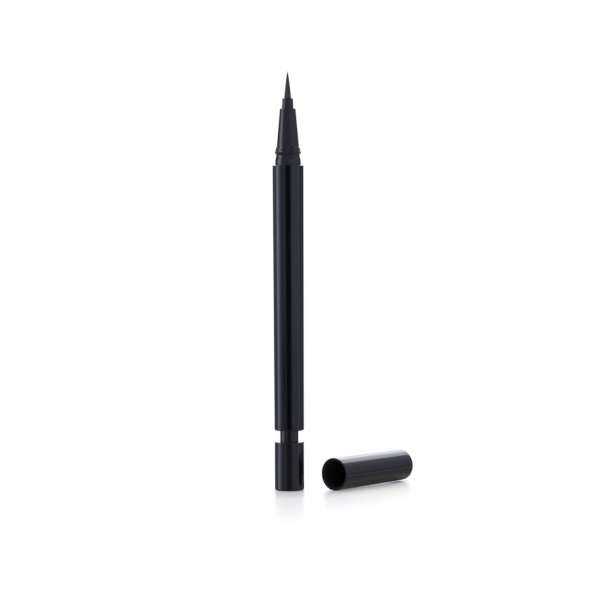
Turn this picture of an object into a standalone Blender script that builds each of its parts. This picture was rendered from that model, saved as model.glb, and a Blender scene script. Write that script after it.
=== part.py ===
"""A click-type liquid eyeliner pen standing on its push knob, with its cap taken off beside it.

Metres, +Z up. The origin is the centre of the knob's flat foot, on the pen's axis. The cap lies
level on the same surface, with its axis along X and its mouth facing -X.
"""

import math

import bmesh
import bpy

# Rules of fit that every piece shares
FIT = 0.00015
SEAT = 0.00010
WELD = 0.0000002
OUTER_STEPS = 32
INNER_STEPS = 24
ARC_STEPS = 4

# The feed screw, which the hollow stem, the rotor, the cam and the nut all run round
SCREW_CREST_RADIUS = 0.0016
SCREW_THREAD_DEPTH = 0.0003
SCREW_FLAT_DEPTH = 0.00042
SCREW_LEAD = 0.0030
SCREW_END_ROOM = 0.00125
SCREW_NECK_RADIUS = 0.00075
SCREW_NECK_LENGTH = 0.00115
SCREW_HEAD_RADIUS = 0.0011
SCREW_HEAD_LENGTH = 0.0013
SCREW_SIDES = 12
SCREW_LEVELS_PER_TURN = 3

# The push knob and its stem, whose neck shows above it
STEM_WALL = 0.0013
STEM_INSERTION = 0.0102
STEM_FLANGE_HEIGHT = 0.0010
STEM_CROWN_STEP = 0.0002
STEM_CROWN_LENGTH = 0.0056
KNOB_HEIGHT = 0.0162
KNOB_INSET = 0.00006
KNOB_DRAFT = 0.00008
KNOB_FOOT_FILLET = 0.0007
KNOB_TOP_CHAMFER = 0.00012
KNOB_FLOOR = 0.0015
KNOB_STROKE = 0.0030
KNOB_STOP_GAP = 0.0009

# The barrel and the bush in its tail
BARREL_LENGTH = 0.0884
BARREL_ROOM = 0.00105
BARREL_TAIL_WALL = 0.00082
BARREL_FRONT_WALL = 0.00106
BARREL_TAIL_FILLET = 0.00035
BARREL_FRONT_FILLET = 0.00015
BUSH_HEIGHT = 0.0036
BUSH_RECESS = 0.0002

# The ratchet, its spring and the nut
TOOTH_HEIGHT = 0.0006
TOOTH_COUNT = 12
ROTOR_HEIGHT = 0.0016
CAM_HEIGHT = 0.0036
CAM_CROWN_WALL = 0.00085
SPRING_WIRE_RADIUS = 0.00022
SPRING_TURNS = 8
SPRING_POINTS_PER_TURN = 10
SPRING_SIDES = 5
NUT_HEIGHT = 0.0045
NUT_GAP = 0.0006

# The tank, its piston and the ball that stirs the liquid
TANK_WALL = 0.0007
TANK_GAP = 0.0015
PISTON_LENGTH = 0.0052
PISTON_LIP_LENGTH = 0.0011
PISTON_WAIST_DEPTH = 0.0005
PISTON_STAND_OFF = 0.0043
BALL_RADIUS = 0.0020
PLUG_DEPTH = 0.0060
PLUG_FLANGE_HEIGHT = 0.0012
PLUG_SPOUT_WALL = 0.0009
SEAL_RADIUS = 0.00030
SEAL_LAND = 0.0016
SEAL_STEPS = 6

# The feed pipe, the brush and the stepped holder round it
PIPE_RADIUS = 0.00075
PIPE_BORE_RADIUS = 0.00040
PIPE_TAIL_DEPTH = 0.0040
BRUSH_RADIUS = 0.00114
BRUSH_LENGTH = 0.00924
BRUSH_BACKING = 0.0007
BRUSH_BACKING_LIP = 0.00013
BRUSH_RINGS = 10
STRAND_SIDES = 3
STRAND_WIDTH_SHARE = 0.38
STRAND_KNEE_SHARE = 0.55
STRAND_KNEE_SPREAD_SHARE = 0.55
STRAND_TIP_SPREAD_SHARE = 0.05
STRAND_STAGGER_SHARE = 0.10
HOLDER_TIP_WALL = 0.00037
HOLDER_TAPER = 0.0002
HOLDER_SHOWING = 0.00346
HOLDER_ROOT_LENGTH = 0.0104
HOLDER_FLANGE_LIP = 0.00048
HOLDER_FLANGE_HEIGHT = 0.0012
HOLDER_FILLET = 0.00030

# The nose, from its spigot in the barrel to its end round the holder
NOSE_SPIGOT_LENGTH = 0.0100
NOSE_SHOULDER = 0.00016
NOSE_COLLAR_LENGTH = 0.0019
NOSE_GROOVE_DEPTH = 0.00036
NOSE_GROOVE_RAMP = 0.00125
NOSE_GROOVE_FLOOR = 0.0002
NOSE_BEAD_RISE = 0.0001
NOSE_BEAD_FOOT_DEPTH = 0.00016
NOSE_BEAD_RAMP = 0.0005
NOSE_BEAD_HALF_LENGTH = 0.0004
NOSE_FLARE_DEPTH = 0.00015
NOSE_FLARE_LENGTH = 0.00065
NOSE_FLARE_RAMP = 0.0010
NOSE_CONE_STEP = 0.00056
NOSE_CONE_LENGTH = 0.0125
NOSE_TIP_WALL = 0.00051
NOSE_TIP_FILLET = 0.00015

# The cap, its sliding inner cup and the cup's spring
CAP_BEAD_GAP = 0.00009
CAP_MOUTH_WALL = 0.00105
CAP_SIDE_WALL = 0.00096
CAP_END_WALL = 0.0014
CAP_END_FILLET = 0.0009
CAP_LIP_FILLET = 0.00035
CAP_MOUTH_CHAMFER = 0.0006
CAP_BORE_STEP = 0.0002
CAP_RIDGE_DEPTH = 0.0115
CAP_RIDGE_LENGTH = 0.0005
CAP_RIDGE_RISE = 0.00035
CAP_TIP_ROOM = 0.00045
CAP_SPRING_ROOM = 0.00215
CAP_SPRING_WIRE_RADIUS = 0.00015
CAP_SPRING_INSET = 0.0015
CAP_SPRING_TURNS = 2
CAP_MOUTH_X = 0.0073
CAP_AXIS_Y = -0.0134
CUP_WALL = 0.00105
CUP_MOUTH_FLARE = 0.0003
CUP_FLARE_LENGTH = 0.0018
CUP_END_WALL = 0.0008

# Radii, each worked out from the piece inside it
SCREW_HALF_FLAT = SCREW_CREST_RADIUS - SCREW_FLAT_DEPTH
STEM_BORE_RADIUS = SCREW_CREST_RADIUS + FIT
NECK_RADIUS = STEM_BORE_RADIUS + STEM_WALL
NECK_HOLE_RADIUS = NECK_RADIUS + FIT
STEM_CROWN_RADIUS = NECK_RADIUS - STEM_CROWN_STEP
BARREL_BORE_RADIUS = NECK_RADIUS + BARREL_ROOM
BARREL_TAIL_RADIUS = BARREL_BORE_RADIUS + BARREL_TAIL_WALL
BARREL_FRONT_RADIUS = BARREL_BORE_RADIUS + BARREL_FRONT_WALL
BORE_FIT_RADIUS = BARREL_BORE_RADIUS - FIT
KNOB_TOP_RADIUS = BARREL_TAIL_RADIUS - KNOB_INSET
KNOB_FOOT_RADIUS = KNOB_TOP_RADIUS + KNOB_DRAFT
CAM_CROWN_INNER_RADIUS = STEM_CROWN_RADIUS - CAM_CROWN_WALL
SPRING_RADIUS = BORE_FIT_RADIUS - FIT - SPRING_WIRE_RADIUS
TANK_BORE_RADIUS = BORE_FIT_RADIUS - TANK_WALL
PISTON_RADIUS = TANK_BORE_RADIUS - FIT
PIPE_HOLE_RADIUS = PIPE_RADIUS + FIT
BACKING_RADIUS = BRUSH_RADIUS + BRUSH_BACKING_LIP
HOLDER_BORE_RADIUS = BACKING_RADIUS + SEAT
HOLDER_TIP_RADIUS = HOLDER_BORE_RADIUS + HOLDER_TIP_WALL
HOLDER_SHAFT_RADIUS = HOLDER_TIP_RADIUS + HOLDER_TAPER
HOLDER_HOLE_RADIUS = HOLDER_SHAFT_RADIUS + FIT
HOLDER_FLANGE_RADIUS = HOLDER_SHAFT_RADIUS + HOLDER_FLANGE_LIP
NOSE_BORE_RADIUS = HOLDER_FLANGE_RADIUS + FIT
NOSE_CONE_TIP_RADIUS = HOLDER_HOLE_RADIUS + NOSE_TIP_WALL
NOSE_COLLAR_RADIUS = BARREL_BORE_RADIUS + NOSE_SHOULDER
NOSE_GROOVE_RADIUS = NOSE_COLLAR_RADIUS - NOSE_GROOVE_DEPTH
NOSE_BEAD_RADIUS = NOSE_COLLAR_RADIUS + NOSE_BEAD_RISE
NOSE_BEAD_FOOT_RADIUS = NOSE_COLLAR_RADIUS - NOSE_BEAD_FOOT_DEPTH
NOSE_FLARE_RADIUS = NOSE_COLLAR_RADIUS - NOSE_FLARE_DEPTH
NOSE_CONE_BASE_RADIUS = NOSE_COLLAR_RADIUS - NOSE_CONE_STEP
TANK_SEAL_RADIUS = PISTON_RADIUS - SEAL_RADIUS
NOSE_SEAL_RADIUS = BORE_FIT_RADIUS - SEAL_RADIUS
CAP_BORE_RADIUS = NOSE_BEAD_RADIUS + CAP_BEAD_GAP
CAP_MOUTH_RADIUS = CAP_BORE_RADIUS + CAP_MOUTH_WALL
CAP_INNER_RADIUS = CAP_BORE_RADIUS - CAP_BORE_STEP
CAP_RIDGE_RADIUS = CAP_INNER_RADIUS - CAP_RIDGE_RISE
CAP_END_RADIUS = CAP_INNER_RADIUS + CAP_SIDE_WALL
CUP_RADIUS = CAP_INNER_RADIUS - FIT
CUP_BORE_RADIUS = CUP_RADIUS - CUP_WALL
CAP_SPRING_RADIUS = CUP_RADIUS - CAP_SPRING_INSET

# Levels up the pen
STEM_FOOT = KNOB_HEIGHT - STEM_INSERTION
BARREL_TAIL = KNOB_HEIGHT + KNOB_STROKE + KNOB_STOP_GAP
BARREL_FRONT = BARREL_TAIL + BARREL_LENGTH
BUSH_TOP = BARREL_TAIL + BUSH_RECESS + BUSH_HEIGHT
FLANGE_FOOT = BUSH_TOP + FIT
FLANGE_TOP = FLANGE_FOOT + STEM_FLANGE_HEIGHT
STEM_TOP = FLANGE_TOP + STEM_CROWN_LENGTH
ROTOR_FOOT = STEM_TOP + TOOTH_HEIGHT + FIT
ROTOR_TOP = ROTOR_FOOT + TOOTH_HEIGHT + ROTOR_HEIGHT
CAM_FOOT = ROTOR_TOP + TOOTH_HEIGHT + KNOB_STROKE + FIT + TOOTH_HEIGHT
CAM_TOP = CAM_FOOT + CAM_HEIGHT
NUT_FOOT = CAM_TOP + NUT_GAP
NUT_TOP = NUT_FOOT + NUT_HEIGHT
NOSE_SEAT = BARREL_FRONT + SEAT
NOSE_FOOT = BARREL_FRONT - NOSE_SPIGOT_LENGTH
PLUG_TOP = NOSE_FOOT - SEAT
TANK_TOP = PLUG_TOP - PLUG_FLANGE_HEIGHT - SEAT
TANK_FOOT = NUT_TOP + TANK_GAP
PISTON_FOOT = TANK_FOOT + PISTON_STAND_OFF
PISTON_TOP = PISTON_FOOT + PISTON_LENGTH
SCREW_FOOT = KNOB_FLOOR + KNOB_STROKE + SCREW_END_ROOM
SCREW_TOP = PISTON_FOOT - SEAT
SCREW_LENGTH = SCREW_TOP - SCREW_FOOT
PLUG_FOOT = TANK_TOP - PLUG_DEPTH
GROOVE_LOW = NOSE_SEAT + NOSE_COLLAR_LENGTH + NOSE_GROOVE_RAMP
GROOVE_HIGH = GROOVE_LOW + NOSE_GROOVE_FLOOR
BEAD_FOOT = GROOVE_HIGH + NOSE_BEAD_RAMP
BEAD_PEAK = BEAD_FOOT + NOSE_BEAD_HALF_LENGTH
FLARE_FOOT = BEAD_PEAK + NOSE_BEAD_HALF_LENGTH
FLARE_TOP = FLARE_FOOT + NOSE_FLARE_LENGTH
CONE_FOOT = FLARE_TOP + NOSE_FLARE_RAMP
NOSE_TIP = CONE_FOOT + NOSE_CONE_LENGTH
HOLDER_STEP = NOSE_TIP - HOLDER_ROOT_LENGTH
HOLDER_FOOT = HOLDER_STEP - SEAT - HOLDER_FLANGE_HEIGHT
HOLDER_TIP = NOSE_TIP + HOLDER_SHOWING
SPOUT_TOP = HOLDER_FOOT - SEAT
BRUSH_SEAT = HOLDER_TIP - BRUSH_BACKING
BRUSH_POINT = HOLDER_TIP + BRUSH_LENGTH
PIPE_FOOT = PLUG_FOOT - PIPE_TAIL_DEPTH
PIPE_TOP = BRUSH_SEAT - SEAT - SEAT

# Depths into the cap from its mouth
CUP_MOUTH = CAP_RIDGE_DEPTH + CAP_RIDGE_LENGTH + FIT
CUP_FLOOR = BRUSH_POINT - BARREL_FRONT + CAP_TIP_ROOM
CUP_BACK = CUP_FLOOR + CUP_END_WALL
CAP_FLOOR = CUP_BACK + CAP_SPRING_ROOM
CAP_LENGTH = CAP_FLOOR + CAP_END_WALL


def material(name, colour, roughness, metallic=0.0):
    """Return a Principled material."""
    made = bpy.data.materials.new(name)
    made.use_nodes = True
    shader = made.node_tree.nodes["Principled BSDF"]
    shader.inputs["Base Color"].default_value = (*colour, 1.0)
    shader.inputs["Roughness"].default_value = roughness
    shader.inputs["Metallic"].default_value = metallic
    return made


def empty(name, place=(0, 0, 0), turn=(0, 0, 0), parent=None):
    """Return an empty that pieces are parented to."""
    made = bpy.data.objects.new(name, None)
    made.location = place
    made.rotation_euler = turn
    made.parent = parent
    bpy.context.scene.collection.objects.link(made)
    return made


def finish(name, mesh, look, parent, height=0):
    """Turn a bmesh into a shaded object whose origin is at a height on its parent's axis."""
    bmesh.ops.remove_doubles(mesh, verts=mesh.verts, dist=WELD)
    bmesh.ops.recalc_face_normals(mesh, faces=mesh.faces)
    data = bpy.data.meshes.new(name)
    mesh.to_mesh(data)
    mesh.free()
    data.shade_smooth()
    data.set_sharp_from_angle(angle=math.radians(28))
    data.materials.append(look)
    made = bpy.data.objects.new(name, data)
    made.location = (0, 0, height)
    made.parent = parent
    bpy.context.scene.collection.objects.link(made)
    return made


def turned(name, outline, look, parent, steps=INNER_STEPS, height=0):
    """Spin an outline of (radius, level) points about Z, closing it if no end is on the axis."""
    mesh = bmesh.new()
    verts = [mesh.verts.new((radius, 0, level - height)) for radius, level in outline]
    edges = [mesh.edges.new(pair) for pair in zip(verts, verts[1:])]
    if outline[0][0] > 0:
        edges.append(mesh.edges.new((verts[-1], verts[0])))
    bmesh.ops.spin(
        mesh,
        geom=verts + edges,
        cent=(0, 0, 0),
        axis=(0, 0, 1),
        angle=math.tau,
        steps=steps,
        use_merge=True,
    )
    return finish(name, mesh, look, parent, height)


def lofted(name, rings, look, parent, closed=True, height=0):
    """Skin rings of points, joining the last to the first or closing both ends with a face."""
    mesh = bmesh.new()
    rows = [[mesh.verts.new((x, y, z - height)) for x, y, z in ring] for ring in rings]
    pairs = list(zip(rows, rows[1:]))
    if closed:
        pairs.append((rows[-1], rows[0]))
    for low, high in pairs:
        count = len(low)
        for i in range(count):
            j = (i + 1) % count
            mesh.faces.new((low[i], low[j], high[j], high[i]))
    if not closed:
        mesh.faces.new(rows[0])
        mesh.faces.new(rows[-1])
    return finish(name, mesh, look, parent, height)


def arc(radius, level, size, start, end, steps=ARC_STEPS):
    """Return outline points on an arc about (radius, level), with its angles in degrees."""
    points = []
    for i in range(steps + 1):
        angle = math.radians(start + (end - start) * i / steps)
        points.append((radius + size * math.cos(angle), level + size * math.sin(angle)))
    return points


def circle(radius_at, level_at, count):
    """Return a ring whose radius and level are functions of the angle and the point's number."""
    ring = []
    for i in range(count):
        angle = math.tau * i / count
        radius = radius_at(angle)
        ring.append((radius * math.cos(angle), radius * math.sin(angle), level_at(i)))
    return ring


def flatted(radius, half_flat):
    """Return a radius function of a round bar or hole with two flats."""

    def radius_at(angle):
        sine = abs(math.sin(angle))
        return radius if sine * radius <= half_flat else half_flat / sine

    return radius_at


def crown(level, rise):
    """Return a level function that goes up and down once for each tooth."""
    return lambda i: level + (rise if i % 2 else 0)


def flat(level):
    """Return a level function of a flat ring."""
    return lambda i: level


def even(radius):
    """Return a radius function of a round ring."""
    return lambda angle: radius


def coil(name, radius, wire, foot, top, turns, look, parent):
    """Wind a round wire from a foot level to a top level, its end turns lying inside them."""
    count = turns * SPRING_POINTS_PER_TURN
    rise = top - foot - 2 * wire
    slope = math.atan2(rise / turns, math.tau * radius)
    rings = []
    for i in range(count + 1):
        turn = math.tau * i / SPRING_POINTS_PER_TURN
        level = foot + wire + rise * i / count
        ring = []
        for j in range(SPRING_SIDES):
            around = math.tau * j / SPRING_SIDES
            out = radius + wire * math.cos(around)
            lift = wire * math.sin(around)
            along = -lift * math.sin(slope)
            x = out * math.cos(turn) - along * math.sin(turn)
            y = out * math.sin(turn) + along * math.cos(turn)
            ring.append((x, y, level + lift * math.cos(slope)))
        rings.append(ring)
    return lofted(name, rings, look, parent, closed=False)


def seal(name, radius, level, look, parent):
    """Make an O-ring at a level."""
    outline = arc(radius, level, SEAL_RADIUS, 0, 360 - 360 / SEAL_STEPS, SEAL_STEPS - 1)
    return turned(name, outline, look, parent)


def make_knob(looks, knob):
    """Make the knob's cup and the stem that carries its push into the barrel."""
    foot = arc(KNOB_FOOT_RADIUS - KNOB_FOOT_FILLET, KNOB_FOOT_FILLET, KNOB_FOOT_FILLET, -90, 0)
    outline = [(0, 0)] + foot
    outline += [
        (KNOB_TOP_RADIUS, KNOB_HEIGHT - KNOB_TOP_CHAMFER),
        (KNOB_TOP_RADIUS - KNOB_TOP_CHAMFER, KNOB_HEIGHT),
        (NECK_HOLE_RADIUS, KNOB_HEIGHT),
        (NECK_HOLE_RADIUS, KNOB_FLOOR),
        (0, KNOB_FLOOR),
    ]
    turned("knob_shell", outline, looks["knob"], knob, OUTER_STEPS)
    count = 2 * TOOTH_COUNT
    rings = [
        circle(even(NECK_RADIUS), flat(STEM_FOOT), count),
        circle(even(NECK_RADIUS), flat(FLANGE_FOOT), count),
        circle(even(BORE_FIT_RADIUS), flat(FLANGE_FOOT), count),
        circle(even(BORE_FIT_RADIUS), flat(FLANGE_TOP), count),
        circle(even(STEM_CROWN_RADIUS), flat(FLANGE_TOP), count),
        circle(even(STEM_CROWN_RADIUS), crown(STEM_TOP, TOOTH_HEIGHT), count),
        circle(even(STEM_BORE_RADIUS), crown(STEM_TOP, TOOTH_HEIGHT), count),
        circle(even(STEM_BORE_RADIUS), flat(STEM_FOOT), count),
    ]
    lofted("push_stem", rings, looks["knob"], knob)


def make_barrel(looks, pen):
    """Make the barrel and the bush that keeps the stem in it."""
    tail = BARREL_TAIL_RADIUS - BARREL_TAIL_FILLET
    front = BARREL_FRONT_RADIUS - BARREL_FRONT_FILLET
    outline = [(BARREL_BORE_RADIUS, BARREL_TAIL)]
    outline += arc(tail, BARREL_TAIL + BARREL_TAIL_FILLET, BARREL_TAIL_FILLET, -90, 0)
    outline += arc(front, BARREL_FRONT - BARREL_FRONT_FILLET, BARREL_FRONT_FILLET, 0, 90, 2)
    outline += [(BARREL_BORE_RADIUS, BARREL_FRONT)]
    turned("barrel", outline, looks["barrel"], pen, OUTER_STEPS)
    foot = BARREL_TAIL + BUSH_RECESS
    bush = [
        (NECK_HOLE_RADIUS, foot),
        (BORE_FIT_RADIUS, foot),
        (BORE_FIT_RADIUS, BUSH_TOP),
        (NECK_HOLE_RADIUS, BUSH_TOP),
    ]
    turned("rear_bush", bush, looks["works"], pen)


def make_ratchet(looks, pen, turning):
    """Make the fixed cam, the rotor below it and the spring that brings the knob back."""
    count = 2 * TOOTH_COUNT
    cam = [
        circle(even(BORE_FIT_RADIUS), flat(CAM_FOOT), count),
        circle(even(BORE_FIT_RADIUS), flat(CAM_TOP), count),
        circle(even(STEM_BORE_RADIUS), flat(CAM_TOP), count),
        circle(even(STEM_BORE_RADIUS), flat(CAM_FOOT), count),
        circle(even(CAM_CROWN_INNER_RADIUS), crown(CAM_FOOT - TOOTH_HEIGHT, TOOTH_HEIGHT / 2), count),
        circle(even(STEM_CROWN_RADIUS), crown(CAM_FOOT - TOOTH_HEIGHT, TOOTH_HEIGHT / 2), count),
        circle(even(STEM_CROWN_RADIUS), flat(CAM_FOOT), count),
    ]
    lofted("fixed_cam", cam, looks["works"], pen)
    low = ROTOR_FOOT + TOOTH_HEIGHT
    hole = flatted(STEM_BORE_RADIUS, SCREW_HALF_FLAT + FIT)
    rotor = [
        circle(hole, crown(low, -TOOTH_HEIGHT), count),
        circle(even(STEM_CROWN_RADIUS), crown(low, -TOOTH_HEIGHT), count),
        circle(even(STEM_CROWN_RADIUS), crown(ROTOR_TOP, TOOTH_HEIGHT), count),
        circle(hole, crown(ROTOR_TOP, TOOTH_HEIGHT), count),
    ]
    lofted("ratchet_rotor", rotor, looks["rotor"], turning, height=ROTOR_FOOT)
    foot = FLANGE_TOP + SEAT
    top = CAM_FOOT - SEAT
    coil("return_spring", SPRING_RADIUS, SPRING_WIRE_RADIUS, foot, top, SPRING_TURNS, looks["steel"], pen)


def make_screw(looks, pen, screw):
    """Make the threaded feed screw with its two flats and head, and the nut it runs in."""
    levels = round(SCREW_LENGTH / SCREW_LEAD * SCREW_LEVELS_PER_TURN)
    rings = []
    for k in range(levels + 1):
        level = SCREW_FOOT + SCREW_LENGTH * k / levels

        def radius_at(angle, level=level):
            phase = (angle - math.tau * level / SCREW_LEAD) % math.tau / math.tau
            radius = SCREW_CREST_RADIUS - SCREW_THREAD_DEPTH * (1 - abs(2 * phase - 1))
            return min(flatted(radius, SCREW_HALF_FLAT)(angle), radius)

        rings.append(circle(radius_at, flat(level), SCREW_SIDES))
    neck_top = SCREW_TOP + SCREW_NECK_LENGTH
    rings += [
        circle(even(SCREW_NECK_RADIUS), flat(SCREW_TOP), SCREW_SIDES),
        circle(even(SCREW_NECK_RADIUS), flat(neck_top), SCREW_SIDES),
        circle(even(SCREW_HEAD_RADIUS), flat(neck_top), SCREW_SIDES),
        circle(even(SCREW_HEAD_RADIUS), flat(neck_top + SCREW_HEAD_LENGTH), SCREW_SIDES),
    ]
    lofted("feed_screw", rings, looks["works"], screw, closed=False)
    nut = [
        (STEM_BORE_RADIUS, NUT_FOOT),
        (BORE_FIT_RADIUS, NUT_FOOT),
        (BORE_FIT_RADIUS, NUT_TOP),
        (STEM_BORE_RADIUS, NUT_TOP),
    ]
    turned("screw_nut", nut, looks["rotor"], pen)


def make_tank(looks, pen, piston):
    """Make the liquid's tank, the piston in it and the ball that stirs the liquid."""
    tank = [
        (TANK_BORE_RADIUS, TANK_FOOT),
        (BORE_FIT_RADIUS, TANK_FOOT),
        (BORE_FIT_RADIUS, TANK_TOP),
        (TANK_BORE_RADIUS, TANK_TOP),
    ]
    turned("liquid_tank", tank, looks["tank"], pen)
    waist = PISTON_RADIUS - PISTON_WAIST_DEPTH
    mouth = SCREW_NECK_RADIUS + FIT
    socket = SCREW_HEAD_RADIUS + FIT
    shelf = SCREW_TOP + SCREW_NECK_LENGTH - FIT
    roof = SCREW_TOP + SCREW_NECK_LENGTH + SCREW_HEAD_LENGTH + FIT
    outline = [
        (0, PISTON_TOP),
        (PISTON_RADIUS, PISTON_TOP),
        (PISTON_RADIUS, PISTON_TOP - PISTON_LIP_LENGTH),
        (waist, PISTON_TOP - PISTON_LIP_LENGTH - PISTON_WAIST_DEPTH),
        (waist, PISTON_FOOT + PISTON_LIP_LENGTH + PISTON_WAIST_DEPTH),
        (PISTON_RADIUS, PISTON_FOOT + PISTON_LIP_LENGTH),
        (PISTON_RADIUS, PISTON_FOOT),
        (mouth, PISTON_FOOT),
        (mouth, shelf),
        (socket, shelf),
        (socket, roof),
        (0, roof),
    ]
    turned("piston", outline, looks["seal"], piston)
    centre = PISTON_TOP + FIT + BALL_RADIUS
    ball = arc(0, centre, BALL_RADIUS, -90, 90, 8)
    ball[0] = (0, centre - BALL_RADIUS)
    ball[-1] = (0, centre + BALL_RADIUS)
    turned("stir_ball", ball, looks["steel"], piston, 12)


def make_plug(looks, pen):
    """Make the plug that closes the tank and leads its liquid to the holder, and its seal."""
    groove = TANK_SEAL_RADIUS - SEAL_RADIUS - FIT
    land = PLUG_FOOT + SEAL_LAND
    room = SEAL_RADIUS + FIT
    outline = [
        (PIPE_HOLE_RADIUS, PLUG_FOOT),
        (PISTON_RADIUS, PLUG_FOOT),
        (PISTON_RADIUS, land),
        (groove, land),
        (groove, land + 2 * room),
        (PISTON_RADIUS, land + 2 * room),
        (PISTON_RADIUS, TANK_TOP + SEAT),
        (BORE_FIT_RADIUS, TANK_TOP + SEAT),
        (BORE_FIT_RADIUS, PLUG_TOP),
        (HOLDER_FLANGE_RADIUS, PLUG_TOP),
        (HOLDER_FLANGE_RADIUS, SPOUT_TOP),
        (PIPE_HOLE_RADIUS + PLUG_SPOUT_WALL, SPOUT_TOP),
        (PIPE_HOLE_RADIUS, SPOUT_TOP - PLUG_SPOUT_WALL),
    ]
    turned("tank_plug", outline, looks["works"], pen)
    seal("tank_seal", TANK_SEAL_RADIUS, land + room, looks["seal"], pen)
    pipe = [
        (PIPE_BORE_RADIUS, PIPE_FOOT),
        (PIPE_RADIUS, PIPE_FOOT),
        (PIPE_RADIUS, PIPE_TOP),
        (PIPE_BORE_RADIUS, PIPE_TOP),
    ]
    turned("feed_pipe", pipe, looks["steel"], pen, 12)


def make_nose(looks, pen):
    """Make the nose with the bead that the cap snaps on, its spigot in the barrel and its seal."""
    groove = NOSE_SEAL_RADIUS - SEAL_RADIUS - FIT
    land = NOSE_FOOT + SEAL_LAND
    room = SEAL_RADIUS + FIT
    outline = [
        (NOSE_BORE_RADIUS, NOSE_FOOT),
        (BORE_FIT_RADIUS, NOSE_FOOT),
        (BORE_FIT_RADIUS, land),
        (groove, land),
        (groove, land + 2 * room),
        (BORE_FIT_RADIUS, land + 2 * room),
        (BORE_FIT_RADIUS, NOSE_SEAT),
        (NOSE_COLLAR_RADIUS, NOSE_SEAT),
        (NOSE_COLLAR_RADIUS, NOSE_SEAT + NOSE_COLLAR_LENGTH),
        (NOSE_GROOVE_RADIUS, GROOVE_LOW),
        (NOSE_GROOVE_RADIUS, GROOVE_HIGH),
        (NOSE_BEAD_FOOT_RADIUS, BEAD_FOOT),
        (NOSE_BEAD_RADIUS, BEAD_PEAK),
        (NOSE_FLARE_RADIUS, FLARE_FOOT),
        (NOSE_FLARE_RADIUS, FLARE_TOP),
        (NOSE_CONE_BASE_RADIUS, CONE_FOOT),
    ]
    edge = NOSE_CONE_TIP_RADIUS - NOSE_TIP_FILLET
    outline += arc(edge, NOSE_TIP - NOSE_TIP_FILLET, NOSE_TIP_FILLET, 0, 90, 2)
    outline += [
        (HOLDER_HOLE_RADIUS, NOSE_TIP),
        (HOLDER_HOLE_RADIUS, HOLDER_STEP),
        (NOSE_BORE_RADIUS, HOLDER_STEP),
    ]
    turned("nose_cone", outline, looks["nose"], pen, OUTER_STEPS)
    seal("nose_seal", NOSE_SEAL_RADIUS, land + room, looks["seal"], pen)


def make_holder(looks, pen):
    """Make the stepped tip that grips the brush, from its flange in the nose to its end."""
    outline = [
        (PIPE_HOLE_RADIUS, HOLDER_FOOT),
        (HOLDER_FLANGE_RADIUS, HOLDER_FOOT),
        (HOLDER_FLANGE_RADIUS, HOLDER_STEP - SEAT),
        (HOLDER_SHAFT_RADIUS, HOLDER_STEP - SEAT),
        (HOLDER_SHAFT_RADIUS, NOSE_TIP),
    ]
    outline += arc(HOLDER_TIP_RADIUS - HOLDER_FILLET, HOLDER_TIP - HOLDER_FILLET, HOLDER_FILLET, 0, 90, 3)
    outline += [
        (HOLDER_BORE_RADIUS, HOLDER_TIP),
        (HOLDER_BORE_RADIUS, BRUSH_SEAT - SEAT),
        (PIPE_HOLE_RADIUS, BRUSH_SEAT - SEAT),
    ]
    turned("brush_holder", outline, looks["holder"], pen)


def strand_places():
    """Return the share of the brush's radius and the angle of each strand, ring by ring."""
    places = [(0, 0)]
    for ring in range(1, BRUSH_RINGS + 1):
        count = 6 * ring
        for i in range(count):
            places.append((ring / (BRUSH_RINGS + 0.5), math.tau * i / count))
    return places


def add_strand(mesh, share, angle, foot):
    """Add one closed tapered strand that leans in to the brush's point."""
    pitch = BRUSH_RADIUS / (BRUSH_RINGS + 0.5)
    width = pitch * STRAND_WIDTH_SHARE
    length = BRUSH_LENGTH * (1 - STRAND_STAGGER_SHARE * share)
    knee = BRUSH_LENGTH * STRAND_KNEE_SHARE
    rows = []
    for level, spread in ((foot, 1), (HOLDER_TIP + knee, STRAND_KNEE_SPREAD_SHARE)):
        reach = BRUSH_RADIUS * share * spread
        row = []
        for j in range(STRAND_SIDES):
            turn = angle + math.tau * j / STRAND_SIDES
            x = reach * math.cos(angle) + width * spread * math.cos(turn)
            y = reach * math.sin(angle) + width * spread * math.sin(turn)
            row.append(mesh.verts.new((x, y, level)))
        rows.append(row)
    rise = (length - knee) / (BRUSH_LENGTH - knee)
    spread = STRAND_KNEE_SPREAD_SHARE + (STRAND_TIP_SPREAD_SHARE - STRAND_KNEE_SPREAD_SHARE) * rise
    reach = BRUSH_RADIUS * share * spread
    tip = mesh.verts.new((reach * math.cos(angle), reach * math.sin(angle), HOLDER_TIP + length))
    mesh.faces.new(rows[0])
    for j in range(STRAND_SIDES):
        k = (j + 1) % STRAND_SIDES
        mesh.faces.new((rows[0][j], rows[0][k], rows[1][k], rows[1][j]))
        mesh.faces.new((rows[1][j], rows[1][k], tip))


def make_brush(looks, pen):
    """Make the pointed brush: strands in rings, fused to the thin backing that holds them."""
    mesh = bmesh.new()
    for share, angle in strand_places():
        add_strand(mesh, share, angle, HOLDER_TIP - BRUSH_BACKING / 2)
    strands = finish("strands", mesh, looks["brush"], pen)
    strands.hide_render = True
    strands.display_type = "WIRE"
    backing = [
        (0, BRUSH_SEAT),
        (BACKING_RADIUS, BRUSH_SEAT),
        (BACKING_RADIUS, HOLDER_TIP),
        (0, HOLDER_TIP),
    ]
    brush = turned("brush_tip", backing, looks["brush"], pen)
    fuse = brush.modifiers.new("strands", "BOOLEAN")
    fuse.operation = "UNION"
    fuse.object = strands


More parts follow.
